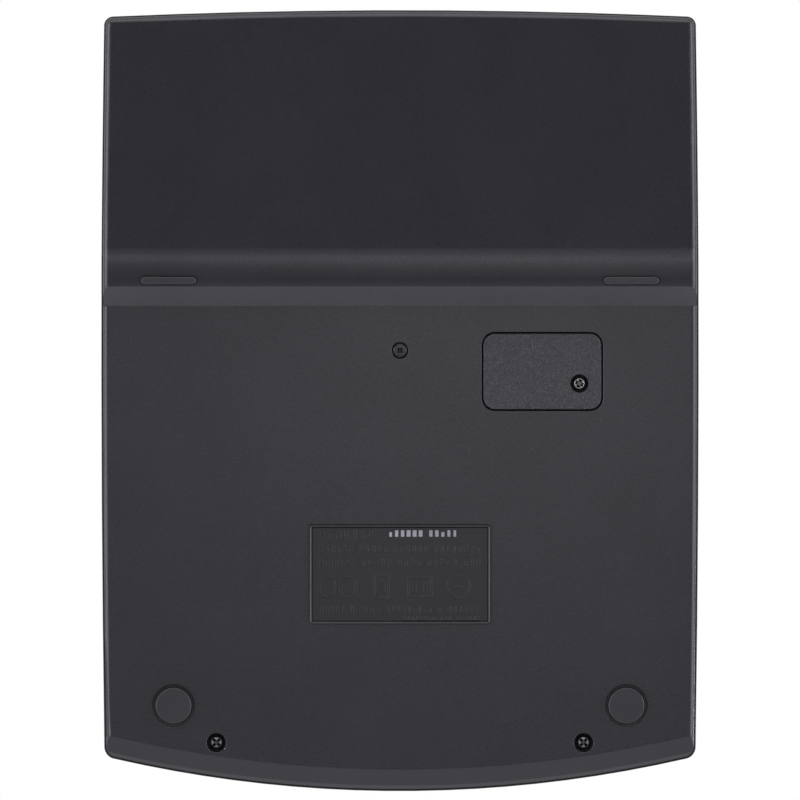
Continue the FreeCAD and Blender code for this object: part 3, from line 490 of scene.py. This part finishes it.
FINISH_OF_NODE = {
    "upper_case": case_abs,
    "lower_case": case_abs,
    "battery_cover": cover_abs,
    "faceplate": plate_metal,
    "display_window": clear_acrylic(),
    "lcd_panel": crystal_glass(),
    "solar_cell": silicon_cells("solar_cell"),
    "lcd_frame": inner_plastic,
    "chip_blob": inner_plastic,
    "capacitor": inner_plastic,
    "lcd_ribbon": amber_film,
    "solar_leads": red_sleeve,
    "main_board": board_paper,
    "rubber_keypad": grey_silicone,
    "battery": nickel_steel,
    "battery_contact_plus": spring_steel,
    "battery_contact_minus": spring_steel,
    "decimal_switch_wiper": spring_steel,
    "rounding_switch_wiper": spring_steel,
    "battery_cover_screw": zinc_steel,
    "board_screws": zinc_steel,
    "case_screws": oxide_steel,
    "foot_front_left": foot_rubber,
    "foot_front_right": foot_rubber,
    "foot_strip_left": foot_rubber,
    "foot_strip_right": foot_rubber,
}
FINISH_OF_SLOT = {"key_light": light_abs, "key_dark": dark_abs, "key_red": red_abs}
for node, piece in frame["nodes"].items():
    piece.data.materials.clear()
    piece.data.materials.append(FINISH_OF_NODE.get(node) or FINISH_OF_SLOT[SLOT_OF[node]])

# Screws --------------------------------------------------------------------------------------


HEAD_DEPTH = 1.2 * MM
SHANK = 1.0 * MM
TIP = 0.3 * SHANK
TIP_INSET = 0.35 * SHANK
DOME_SHARE = 0.34  # how much of a head's radius its rounded edge takes
WING_TAPER = (0.3, 0.5)  # the length and width at a recess's floor, as shares of its mouth's


def faces_where(piece, chosen):
    """Selects the faces of a piece that are chosen by their middle and normal."""
    bpy.ops.object.mode_set(mode="OBJECT")
    for group in (piece.data.vertices, piece.data.edges, piece.data.polygons):
        for element in group:
            element.select = False
    for face in piece.data.polygons:
        face.select = chosen(face.center, face.normal)
    bpy.ops.object.mode_set(mode="EDIT")


def recess_wing(length, width, depth):
    """One wing pair of a cross recess, this long and wide at the head's outer face, and tapered
    towards its floor."""
    bpy.ops.mesh.primitive_cube_add(size=1.0)
    wing = bpy.context.object
    only(wing)
    bpy.ops.object.mode_set(mode="EDIT")
    bpy.ops.mesh.select_all(action="SELECT")
    # the outer face lies halfway between the wide end and the tapered end
    wide = (2 * length / (1 + WING_TAPER[0]), 2 * width / (1 + WING_TAPER[1]), 2 * depth)
    bpy.ops.transform.resize(value=wide)
    faces_where(wing, lambda middle, normal: normal.z > 0.5)
    bpy.ops.transform.resize(value=(*WING_TAPER, 1.0))
    bpy.ops.object.mode_set(mode="OBJECT")
    return wing


def cross_screw(radius, recess, length, turn):
    """A small machine screw, head down at the origin: a domed head over a plain shank. Its cross
    recess has wings that are recess long and wide, and turned by an angle."""
    bpy.ops.mesh.primitive_cylinder_add(
        vertices=48, radius=radius, depth=HEAD_DEPTH, location=(0, 0, HEAD_DEPTH / 2)
    )
    screw = bpy.context.object
    only(screw)
    bpy.ops.object.transform_apply(location=True)
    faces_where(screw, lambda middle, normal: normal.z < -0.5)
    bpy.ops.mesh.bevel(
        offset=radius * DOME_SHARE, offset_type="OFFSET", segments=8, affect="EDGES"
    )
    faces_where(screw, lambda middle, normal: normal.z > 0.5 and middle.z > HEAD_DEPTH * 0.9)
    bpy.ops.mesh.inset(thickness=radius - SHANK)
    bpy.ops.mesh.extrude_region_move(
        TRANSFORM_OT_translate={"value": (0, 0, length - HEAD_DEPTH)}
    )
    bpy.ops.mesh.inset(thickness=TIP_INSET)
    bpy.ops.transform.translate(value=(0, 0, TIP))
    bpy.ops.mesh.select_all(action="SELECT")
    bpy.ops.mesh.normals_make_consistent(inside=False)
    bpy.ops.object.mode_set(mode="OBJECT")
    for quarter in (0, math.pi / 2):
        wing = recess_wing(*recess, HEAD_DEPTH * 0.95)
        wing.rotation_euler.z = turn + quarter
        only(wing)
        bpy.ops.object.transform_apply(rotation=True)
        modify(screw, "BOOLEAN", object=wing, operation="DIFFERENCE", solver="EXACT")
        bpy.data.objects.remove(wing)
    only(screw)
    bpy.ops.object.shade_smooth_by_angle(angle=SMOOTH_ANGLE)
    return screw


# the two front screws and the wider-headed middle one: head radius, length and width of the
# recess's wings at its mouth, and finish
FRONT_SCREW = (1.72 * MM, (2.6 * MM, 0.72 * MM), oxide_steel)
MIDDLE_SCREW = (2.02 * MM, (1.6 * MM, 0.6 * MM), black_lacquer)
case_screws = []
for (x, y, z, length), kind in zip(CASE_SCREWS, (FRONT_SCREW, MIDDLE_SCREW, FRONT_SCREW)):
    radius, recess, finish = kind
    screw = cross_screw(radius, recess, length - TIP, math.radians(45))
    settle(screw, CASE_TILT, (x, y, z))
    screw.data.materials.append(finish)
    case_screws.append(screw)
case_screw_set = finished(joined(case_screws), "case_screw_set", "case")
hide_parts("case_screws")

x, y, z, length = COVER_SCREW
COVER_HEAD = 1.5 * MM
COVER_RECESS = (2.2 * MM, 0.95 * MM)
cover_screw = cross_screw(COVER_HEAD, COVER_RECESS, length - TIP, math.radians(20))
settle(cover_screw, CASE_TILT, (x, y, z))
finished(cover_screw, "cover_screw", "battery_cover", zinc_steel)
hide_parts("battery_cover_screw")

# Keypad --------------------------------------------------------------------------------------

# The rubber sheet stays flat while the dome below a key flattens as that key goes down, so the
# sheet and each dome are pieces of their own, cut from the keypad a hair above the sheet's face.
level_deck = Matrix.Rotation(-DECK_TILT, 3, "X")
DECK_UP = level_deck.inverted() @ Vector((0, 0, 1))
CUT_ABOVE = 0.01 * MM


def cut_apart(name, place, above):
    """The part of a copy of the keypad on one side of a plane along the deck, closed there."""
    piece = added(name, frame["nodes"]["rubber_keypad"].data.copy())
    only(piece)
    bpy.ops.mesh.customdata_custom_splitnormals_clear()
    bpy.ops.object.mode_set(mode="EDIT")
    bpy.ops.mesh.select_all(action="SELECT")
    bpy.ops.mesh.remove_doubles(threshold=WELD)
    bpy.ops.mesh.bisect(
        plane_co=place,
        plane_no=DECK_UP,
        clear_inner=above,
        clear_outer=not above,
        threshold=WELD / 10,
    )
    bpy.ops.mesh.select_all(action="SELECT")
    bpy.ops.mesh.fill_holes(sides=0)
    bpy.ops.mesh.select_all(action="SELECT")
    bpy.ops.mesh.normals_make_consistent(inside=False)
    bpy.ops.object.mode_set(mode="OBJECT")
    bpy.ops.object.shade_smooth_by_angle(angle=SMOOTH_ANGLE)
    return piece


upward_faces = [
    face
    for face in frame["nodes"]["rubber_keypad"].data.polygons
    if face.normal.dot(DECK_UP) > 0.99
]
sheet_face = max(upward_faces, key=lambda face: face.area)
cut_place = sheet_face.center + DECK_UP * CUT_ABOVE
keypad_sheet = cut_apart("keypad_sheet", cut_place, False)
finished(keypad_sheet, "keypad_sheet", "case", grey_silicone)
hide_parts("rubber_keypad")
cut_apart("keypad_domes", cut_place, True)
bpy.ops.mesh.separate(type="LOOSE")
key_places = {}
for node in SLOT_OF:
    if node + "_press" in JOINTS:
        low, high = extent(node, DECK_TILT)
        key_places[node] = ((low + high) / 2).xy
for dome in list(bpy.context.selected_objects):
    corners = [level_deck @ vertex.co for vertex in dome.data.vertices]
    middle = (Vector(map(min, *corners)) + Vector(map(max, *corners))) / 2
    key = min(key_places, key=lambda node: (key_places[node] - middle.xy).length)
    finished(dome, key + "_dome", "case", grey_silicone)
    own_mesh(dome)

# Rating panel --------------------------------------------------------------------------------

# The panel's recess is measured from the battery cover's outer face, which lies a little inside
# the flat underside. Its plan is measured from the middle of the case.
COVER_SET_IN = 0.05 * MM
RECESS_DEPTH = 0.25 * MM
RELIEF = 0.16 * MM
PROUD = 0.02 * MM  # how far the floor sheet stands out from the recess's own floor
level_case = Matrix.Rotation(-CASE_TILT, 3, "X")
case_middle = level_case @ ((CAD_BOX[0] + CAD_BOX[1]) / 2)
outer_face = extent("battery_cover", CASE_TILT)[0].z - COVER_SET_IN
recess_floor = outer_face + RECESS_DEPTH - PROUD


def raised_bar(width, height):
    """A low bar on the recess floor, with its lower edges chamfered as a mould leaves them."""
    bpy.ops.mesh.primitive_cube_add(size=1.0)
    bar = bpy.context.object
    only(bar)
    bpy.ops.object.mode_set(mode="EDIT")
    bpy.ops.mesh.select_all(action="SELECT")
    bpy.ops.transform.resize(value=(width, height, 2 * RELIEF))
    faces_where(bar, lambda middle, normal: normal.z < -0.5)
    bpy.ops.mesh.bevel(offset=0.06 * MM, segments=1, affect="EDGES")
    bpy.ops.object.mode_set(mode="OBJECT")
    return bar


def raised_ring(width, height, corner, line):
    """A low ring on the recess floor: a rounded rectangle with its middle taken out."""
    outer, inner = [], []
    for inset, loop in ((0.0, outer), (line, inner)):
        radius = max(corner - inset, 0.05 * MM)
        for quarter in range(4):
            sx, sy = ((1, 1), (-1, 1), (-1, -1), (1, -1))[quarter]
            cx = sx * (width / 2 - inset - radius)
            cy = sy * (height / 2 - inset - radius)
            for step in range(7):
                angle = math.radians(90 * quarter + 15 * step)
                loop.append((cx + radius * math.cos(angle), cy + radius * math.sin(angle)))
    count = len(outer)
    corners = [(x, y, z) for z in (-RELIEF, RELIEF) for x, y in outer + inner]
    faces = []
    for this in range(count):
        after = (this + 1) % count
        for a, b, c, d in (
            (this, after, after + count, this + count),
            (this + 2 * count, this + 3 * count, after + 3 * count, after + 2 * count),
            (this, this + 2 * count, after + 2 * count, after),
            (this + count, after + count, after + 3 * count, this + 3 * count),
        ):
            faces.append((a, b, c, d))
    mesh = bpy.data.meshes.new("ring")
    mesh.from_pydata(corners, [], faces)
    ring = added("ring", mesh)
    only(ring)
    bpy.ops.object.mode_set(mode="EDIT")
    bpy.ops.mesh.select_all(action="SELECT")
    bpy.ops.mesh.normals_make_consistent(inside=False)
    bpy.ops.object.mode_set(mode="OBJECT")
    return ring


def rounded_sheet(width, height, corner, thickness):
    """A thin sheet with rounded corners, its lower face at the origin's level."""
    bpy.ops.mesh.primitive_cube_add(size=1.0, location=(0, 0, 0))
    sheet = bpy.context.object
    only(sheet)
    bpy.ops.object.mode_set(mode="EDIT")
    bpy.ops.mesh.select_all(action="SELECT")
    bpy.ops.transform.resize(value=(width, height, thickness))
    bpy.ops.transform.translate(value=(0, 0, thickness / 2))
    bpy.ops.object.mode_set(mode="OBJECT")
    for element in (*sheet.data.vertices, *sheet.data.edges, *sheet.data.polygons):
        element.select = False
    places = [vertex.co for vertex in sheet.data.vertices]
    for edge in sheet.data.edges:
        first, second = (places[end] for end in edge.vertices)
        edge.select = abs(first.z - second.z) > thickness / 2
    bpy.ops.object.mode_set(mode="EDIT")
    bpy.ops.mesh.bevel(offset=corner, segments=6, affect="EDGES")
    bpy.ops.object.mode_set(mode="OBJECT")
    return sheet


def on_recess(piece, x, y):
    """Puts a piece on the recess floor, at a place measured from the middle of the case."""
    settle(piece, CASE_TILT, (x, case_middle.y + y, recess_floor))
    return piece


WORD_GAP = 1.1 * MM
BAR_WIDTHS = (0.42, 0.7)  # the narrowest and the widest, as shares of the bars' pitch
BAR_HEIGHTS = (1.0, 1.0, 1.0, 0.72)  # one of these at random, as a share of the row's height


def bar_row(dice, y, left, right, height, words):
    """A row of bars that stands for a line of words: short bars, with wider gaps between the
    words. Each word is a number of bars."""
    bars = []
    letters = sum(words)
    pitch = (right - left - WORD_GAP * (len(words) - 1)) / letters
    x = left
    for count in words:
        for _ in range(count):
            width = pitch * dice.uniform(*BAR_WIDTHS)
            tall = height * dice.choice(BAR_HEIGHTS)
            middle = x + pitch / 2
            bars.append(on_recess(raised_bar(width, tall), middle, y - (height - tall) / 2))
            x += pitch
        x += WORD_GAP
    return bars


dice = random.Random(7)
moulded_marks = []
# each row: its middle, its ends, its height and its words
for y, left, right, height, words in (
    (-34.8, 6.4, 21.2, 2.2, (7,)),
    (-38.6, -21.2, 21.2, 1.8, (8, 6, 5, 6)),
    (-42.2, -21.2, 21.2, 1.8, (3, 5, 4, 5, 6)),
    (-54.4, -20.6, 20.9, 1.8, (8, 9, 6, 5)),
    (-56.6, -20.9, -0.8, 1.1, (6, 3, 8)),
):
    moulded_marks += bar_row(dice, y * MM, left * MM, right * MM, height * MM, words)
# plain outlines and blocks in a row, each with its middle and size, and the outlines with the
# radius of their corners
OUTLINE_ROW = -48.5 * MM
RING_LINE = 0.7 * MM
for x, width, height, corner in (
    (18.9, 4.6, 6.0, 2.2),
    (13.4, 4.6, 6.0, 2.2),
    (4.8, 4.4, 6.6, 0.5),
    (-5.2, 6.6, 5.6, 0.5),
    (-15.2, 6.4, 6.4, 3.1),
):
    ring = raised_ring(width * MM, height * MM, corner * MM, RING_LINE)
    moulded_marks.append(on_recess(ring, x * MM, OUTLINE_ROW))
for x, width, height in ((4.8, 2.0, 3.2), (-3.7, 1.2, 2.8), (-6.7, 1.2, 2.8), (-15.2, 2.6, 0.8)):
    bar = raised_bar(width * MM, height * MM)
    moulded_marks.append(on_recess(bar, x * MM, OUTLINE_ROW))
finished(joined(moulded_marks), "moulded_rating_marks", "case", polished_abs)
FLOOR_WIDTH, FLOOR_HEIGHT, FLOOR_CORNER = 46.84 * MM, 25.54 * MM, 0.68 * MM
floor_sheet = rounded_sheet(FLOOR_WIDTH, FLOOR_HEIGHT, FLOOR_CORNER, 0.03 * MM)
on_recess(floor_sheet, 0, -45.2 * MM)
finished(floor_sheet, "rating_recess_floor", "case", dull_abs)
# the one row that is stamped in ink
stamped = bar_row(dice, -34.6 * MM, -15.0 * MM, 3.2 * MM, 1.7 * MM, (5, 6))
finished(joined(stamped), "stamped_row", "case", panel_ink)

# Legends -------------------------------------------------------------------------------------

INK = 0.05 * MM
START_ABOVE = 1 * MM  # a mark is dropped onto its face from this far up


def lettering(words, size):
    """Words as a flat mesh round the origin, size high."""
    bpy.ops.object.text_add()
    text = bpy.context.object
    only(text)
    text.data.body = words
    text.data.align_x = "CENTER"
    text.data.resolution_u = 4
    bpy.ops.object.convert(target="MESH")
    text = bpy.context.object
    return centred_flat(text, size)


def centred_flat(flat, size):
    """Moves a flat mesh's middle to the origin and makes it size high."""
    places = [vertex.co for vertex in flat.data.vertices]
    low, high = Vector(map(min, *places)), Vector(map(max, *places))
    scale = size / (high.y - low.y)
    flat.data.transform(Matrix.Scale(scale, 4) @ Matrix.Translation(-(low + high) / 2))
    return flat


def strokes(lines, width):
    """Flat strokes of a width along lines of points, each end cut square."""
    corners, faces = [], []
    for line in lines:
        first = len(corners)
        for place, point in enumerate(line):
            before = Vector(line[max(place - 1, 0)])
            after = Vector(line[min(place + 1, len(line) - 1)])
            way = (after - before).normalized()
            aside = Vector((-way.y, way.x)) * width / 2
            corners += [(*(Vector(point) - aside), 0), (*(Vector(point) + aside), 0)]
        for step in range(len(line) - 1):
            a = first + 2 * step
            faces.append((a, a + 2, a + 3, a + 1))
    mesh = bpy.data.meshes.new("strokes")
    mesh.from_pydata(corners, [], faces)
    return added("strokes", mesh)


def root_sign():
    """The square root sign, drawn two units high."""
    tick = [(-1.0, 0.1), (-0.7, 0.3)]
    rise = [(-0.7, 0.3), (-0.3, -1.0), (0.1, 1.0), (1.2, 1.0)]
    return strokes([tick, rise], 0.2)


def back_arrow():
    """A solid pointer, for the key that takes back the last digit."""
    mesh = bpy.data.meshes.new("pointer")
    mesh.from_pydata([(-0.9, -0.8, 0), (0.9, 0, 0), (-0.9, 0.8, 0)], [], [(0, 1, 2)])
    return added("pointer", mesh)


def printed(flat, node, x, y, z):
    """Lays a flat mark on a node's upper face below a place measured along the deck's axes,
    following its dish, and gives the mark the thickness of ink."""
    above = Matrix.Translation((x, y, z + START_ABOVE))
    flat.matrix_world = Matrix.Rotation(DECK_TILT, 4, "X") @ above
    only(flat)
    bpy.context.view_layer.update()
    modify(
        flat,
        "SHRINKWRAP",
        target=frame["nodes"][node],
        wrap_method="PROJECT",
        use_project_z=True,
        use_negative_direction=True,
        use_positive_direction=False,
        wrap_mode="ON_SURFACE",
    )
    modify(flat, "SOLIDIFY", thickness=INK, offset=0.6)
    only(flat)
    bpy.ops.object.transform_apply(location=True, rotation=True, scale=True)
    bpy.ops.object.mode_set(mode="EDIT")
    bpy.ops.mesh.select_all(action="SELECT")
    bpy.ops.mesh.remove_doubles(threshold=WELD)
    bpy.ops.mesh.normals_make_consistent(inside=False)
    bpy.ops.object.mode_set(mode="OBJECT")
    return flat


# what each key says: its words or its drawn sign, and how high that is in millimetres
KEY_MARKS = {
    "key_all_clear": ("AC", 4.2),
    "key_clear": ("C", 4.2),
    "key_decimal_point": (".", 1.2),
    "key_equals": ("=", 2.2),
    "key_plus": ("+", 4.4),
    "key_minus": ("\u2212", 0.7),
    "key_multiply": ("\u00d7", 3.6),
    "key_divide": ("\u00f7", 3.6),
    "key_percent": ("%", 4.4),
    "key_square_root": (root_sign, 4.4),
    "key_memory_clear": ("MC", 3.6),
    "key_memory_recall": ("MR", 3.6),
    "key_memory_minus": ("M\u2212", 3.6),
    "key_memory_plus": ("M+", 3.6),
    "key_grand_total": ("GT", 2.6),
    "key_mark_up": ("MU", 2.6),
    "key_backspace": (back_arrow, 2.6),
}
KEY_MARKS.update({f"key_{digit}": (str(digit), 5.2) for digit in range(10)})
for node, (sign, size) in KEY_MARKS.items():
    mark = centred_flat(sign(), size * MM) if callable(sign) else lettering(sign, size * MM)
    low, high = extent(node, DECK_TILT)
    printed(mark, node, (low.x + high.x) / 2, (low.y + high.y) / 2, high.z)
    ink = dark_ink if SLOT_OF[node] == "key_light" else pale_ink
    finished(mark, node + "_mark", BODY_OF[node], ink)

# Switch scales, printed on the deck behind the two switch slots
knob_middles = {}
for node in ("decimal_switch_knob", "rounding_switch_knob"):
    low, high = extent(node, DECK_TILT)
    knob_middles[node] = (low + high) / 2
deck_level = extent("decimal_switch_knob", DECK_TILT)[1].z
SCALE_BEHIND = 4.4 * MM


travel = JOINTS["decimal_switch_slide"]["range_m"][1]
throw = JOINTS["rounding_switch_slide"]["range_m"][1]
scale_marks = []
scale = "F420A"
for place, words in enumerate(scale):
    x = knob_middles["decimal_switch_knob"].x + travel * place / (len(scale) - 1)
    y = knob_middles["decimal_switch_knob"].y + SCALE_BEHIND
    scale_marks.append(printed(lettering(words, 1.6 * MM), "upper_case", x, y, deck_level))
for place, words in ((-1, "UP"), (0, "5/4"), (1, "CUT")):
    x = knob_middles["rounding_switch_knob"].x + place * (throw + 1.9 * MM)
    y = knob_middles["rounding_switch_knob"].y + SCALE_BEHIND
    scale_marks.append(printed(lettering(words, 1.4 * MM), "upper_case", x, y, deck_level))
finished(joined(scale_marks), "switch_scales", "case", pale_ink)

# Display -------------------------------------------------------------------------------------


SEGMENT_THICKNESS = 0.03 * MM


def segment_bar(length, width):
    """One bar of a seven-segment digit, pointed at both ends, on the glass."""
    half, point = length / 2, width / 2
    mesh = bpy.data.meshes.new("segment")
    mesh.from_pydata(
        [
            (-half, 0, 0),
            (-half + point, -point, 0),
            (half - point, -point, 0),
            (half, 0, 0),
            (half - point, point, 0),
            (-half + point, point, 0),
        ],
        [],
        [(0, 1, 2, 3, 4, 5)],
    )
    bar = added("segment", mesh)
    modify(bar, "SOLIDIFY", thickness=SEGMENT_THICKNESS, offset=1.0)
    return bar


glass_low, glass_high = extent("lcd_panel", DISPLAY_TILT)
glass_middle = (glass_low + glass_high) / 2
DIGITS, DIGIT_PITCH = 12, 8.2 * MM
DIGIT_WIDTH, DIGIT_HEIGHT, DIGIT_LINE, DIGIT_SLANT = 5.2 * MM, 11.0 * MM, 0.95 * MM, 0.12
SEGMENT_GAP = 0.25 * MM
level_bar = segment_bar(DIGIT_WIDTH - SEGMENT_GAP, DIGIT_LINE)
upright_bar = segment_bar(DIGIT_HEIGHT / 2 - SEGMENT_GAP, DIGIT_LINE)


def digit(segments, place):
    """The chosen segments of one digit, counted from the left."""
    middle_x = glass_middle.x + (place - (DIGITS - 1) / 2) * DIGIT_PITCH
    made = []
    for name, x, y, bar, turn in (
        ("top", 0, 1, level_bar, 0),
        ("middle", 0, 0, level_bar, 0),
        ("bottom", 0, -1, level_bar, 0),
        ("upper_left", -1, 0.5, upright_bar, 90),
        ("upper_right", 1, 0.5, upright_bar, 90),
        ("lower_left", -1, -0.5, upright_bar, 90),
        ("lower_right", 1, -0.5, upright_bar, 90),
    ):
        if name not in segments:
            continue
        copy = added(name, bar.data.copy())
        slanted = Matrix(((1, DIGIT_SLANT, 0, 0), (0, 1, 0, 0), (0, 0, 1, 0), (0, 0, 0, 1)))
        put = Matrix.Translation((x * DIGIT_WIDTH / 2, y * DIGIT_HEIGHT / 2, 0))
        copy.data.transform(slanted @ put @ Matrix.Rotation(math.radians(turn), 4, "Z"))
        settle(copy, DISPLAY_TILT, (middle_x, glass_middle.y, glass_high.z))
        made.append(copy)
    return made


ALL_SEGMENTS = ("top", "middle", "bottom", "upper_left", "upper_right", "lower_left", "lower_right")
ZERO = tuple(name for name in ALL_SEGMENTS if name != "middle")
resting = [bar for place in range(DIGITS - 1) for bar in digit(ALL_SEGMENTS, place)]
resting += digit(("middle",), DIGITS - 1)
finished(joined(resting), "resting_segments", "case", resting_crystal)
finished(joined(digit(ZERO, DIGITS - 1)), "driven_segments", "case", driven_crystal)
bpy.data.objects.remove(level_bar)
bpy.data.objects.remove(upright_bar)

# Stage, light and camera ---------------------------------------------------------------------

# how bright what lies below is, from the front (y = -1) to the back (y = 1), and how much
# brighter it is far to either side
LEVELS = (
    (-1.0, 2.0),
    (-0.8, 1.5),
    (-0.5, 0.8),
    (-0.42, 0.25),
    (-0.3, 0.25),
    (-0.2, 0.5),
    (-0.1, 0.5),
    (-0.02, 0.08),
    (0.09, 0.08),
    (0.13, 2.0),
    (0.28, 2.0),
    (0.34, 0.05),
    (0.62, 0.05),
    (0.76, 1.9),
    (1.0, 3.2),
)
SIDE_LEVEL = 4.0
ABOVE_LEVEL = 0.9


def pale_floor():
    """A pale matt floor that only shows from above, so that the underside can be looked at."""
    material, tree = empty_material("pale_floor")
    side = add(tree, "ShaderNodeNewGeometry").outputs["Backfacing"]
    top = add(tree, "ShaderNodeBsdfDiffuse", {"Color": colour("#e6e5e2")}).outputs[0]
    under = add(tree, "ShaderNodeBsdfTransparent").outputs[0]
    close(tree, add(tree, "ShaderNodeMixShader", {0: side, 1: top, 2: under}))
    return material


FLOOR_SIZE = 30.0
FLOOR_DROP = 0.2 * MM  # the floor lies a little below what stands on it
bpy.ops.mesh.primitive_plane_add(size=FLOOR_SIZE, location=(0, 0, -FLOOR_DROP))
floor = bpy.context.object
floor.name = "floor"
floor.data.materials.append(pale_floor())
for ray in ("visible_shadow", "visible_diffuse", "visible_glossy"):
    setattr(floor, ray, False)


def soft_room():
    """The light all round: white where the camera looks past the object. Below, where the
    underside faces, it is bright towards the sides and the back, with a soft band of light a
    little behind the point straight below and a dark gap behind that."""
    world = bpy.data.worlds.new("soft_room")
    world.use_nodes = True
    tree = world.node_tree
    tree.nodes.clear()
    way = add(
        tree,
        "ShaderNodeSeparateXYZ",
        {"Vector": add(tree, "ShaderNodeTexCoord").outputs["Generated"]},
    )
    brightest = max(level for y, level in LEVELS)
    place = add(
        tree,
        "ShaderNodeMapRange",
        {"Value": way.outputs["Y"], "From Min": -1.0, "From Max": 1.0},
    ).outputs["Result"]
    ramp = add(tree, "ShaderNodeValToRGB", {"Fac": place})
    elements = ramp.color_ramp.elements
    while len(elements) < len(LEVELS):
        elements.new(0.5)
    for element, (y, level) in zip(elements, LEVELS):
        element.position = (y + 1) / 2
        element.color = (level / brightest,) * 3 + (1.0,)
    along = add(
        tree, "ShaderNodeMath", {0: ramp.outputs["Color"], 1: brightest}, operation="MULTIPLY"
    ).outputs[0]
    sideways = add(tree, "ShaderNodeMath", {0: way.outputs["X"]}, operation="ABSOLUTE").outputs[0]
    across = add(
        tree,
        "ShaderNodeMapRange",
        {"Value": sideways, "From Min": 0.55, "From Max": 0.95, "To Max": SIDE_LEVEL},
    ).outputs["Result"]
    level = add(tree, "ShaderNodeMath", {0: along, 1: across}, operation="ADD").outputs[0]
    below = add(tree, "ShaderNodeBackground", {"Color": colour("#f6f4ff"), "Strength": level})
    above = add(tree, "ShaderNodeBackground", {"Color": colour("#f4f5f7"), "Strength": ABOVE_LEVEL})
    height = add(
        tree,
        "ShaderNodeMapRange",
        {"Value": way.outputs["Z"], "From Min": -0.15, "From Max": 0.1},
    ).outputs["Result"]
    lighting = add(
        tree, "ShaderNodeMixShader", {0: height, 1: below.outputs[0], 2: above.outputs[0]}
    )
    seen = add(tree, "ShaderNodeBackground", {"Color": (1, 1, 1, 1), "Strength": 1.0})
    final = add(
        tree,
        "ShaderNodeMixShader",
        {
            0: add(tree, "ShaderNodeLightPath").outputs["Is Camera Ray"],
            1: lighting.outputs[0],
            2: seen.outputs[0],
        },
    )
    add(tree, "ShaderNodeOutputWorld", {"Surface": final.outputs[0]})
    bpy.context.scene.world = world


def soft_light(name, place, aim, size, power):
    """A square area light at a place, turned to what it lights, which the camera sees past."""
    bpy.ops.object.light_add(type="AREA", location=place)
    lamp = bpy.context.object
    lamp.name = name
    lamp.rotation_euler = (Vector(aim) - Vector(place)).to_track_quat("-Z", "Y").to_euler()
    lamp.data.shape = "SQUARE"
    lamp.data.size = size
    lamp.data.energy = power
    lamp.visible_camera = False


# the camera looks square at the flat underside, with the display end at the top
centre = (CAD_BOX[0] + CAD_BOX[1]) / 2
outward = Vector((0, math.sin(CASE_TILT), -math.cos(CASE_TILT)))
upward = Vector((0, math.cos(CASE_TILT), math.sin(CASE_TILT)))
soft_room()
soft_light("upper_key_light", (-0.5, -0.45, 0.9), (0, 0, 0), 0.5, 7.5)
low_place = centre + outward * 0.5 + upward * 0.03 + Vector((-0.03, 0, 0))
soft_light("low_light", low_place, centre, 0.14, 0.05)
bpy.context.scene.view_settings.view_transform = "Standard"
DISTANCE = 3.5
LENS = 605.5
bpy.ops.object.camera_add()
camera = bpy.context.object
camera.name = "camera"
camera.matrix_world = Matrix.Translation(centre + outward * DISTANCE) @ Matrix(
    (upward.cross(outward), upward, outward)
).transposed().to_4x4()
camera.data.lens = LENS
camera.data.sensor_width = 36.0
bpy.context.scene.camera = camera
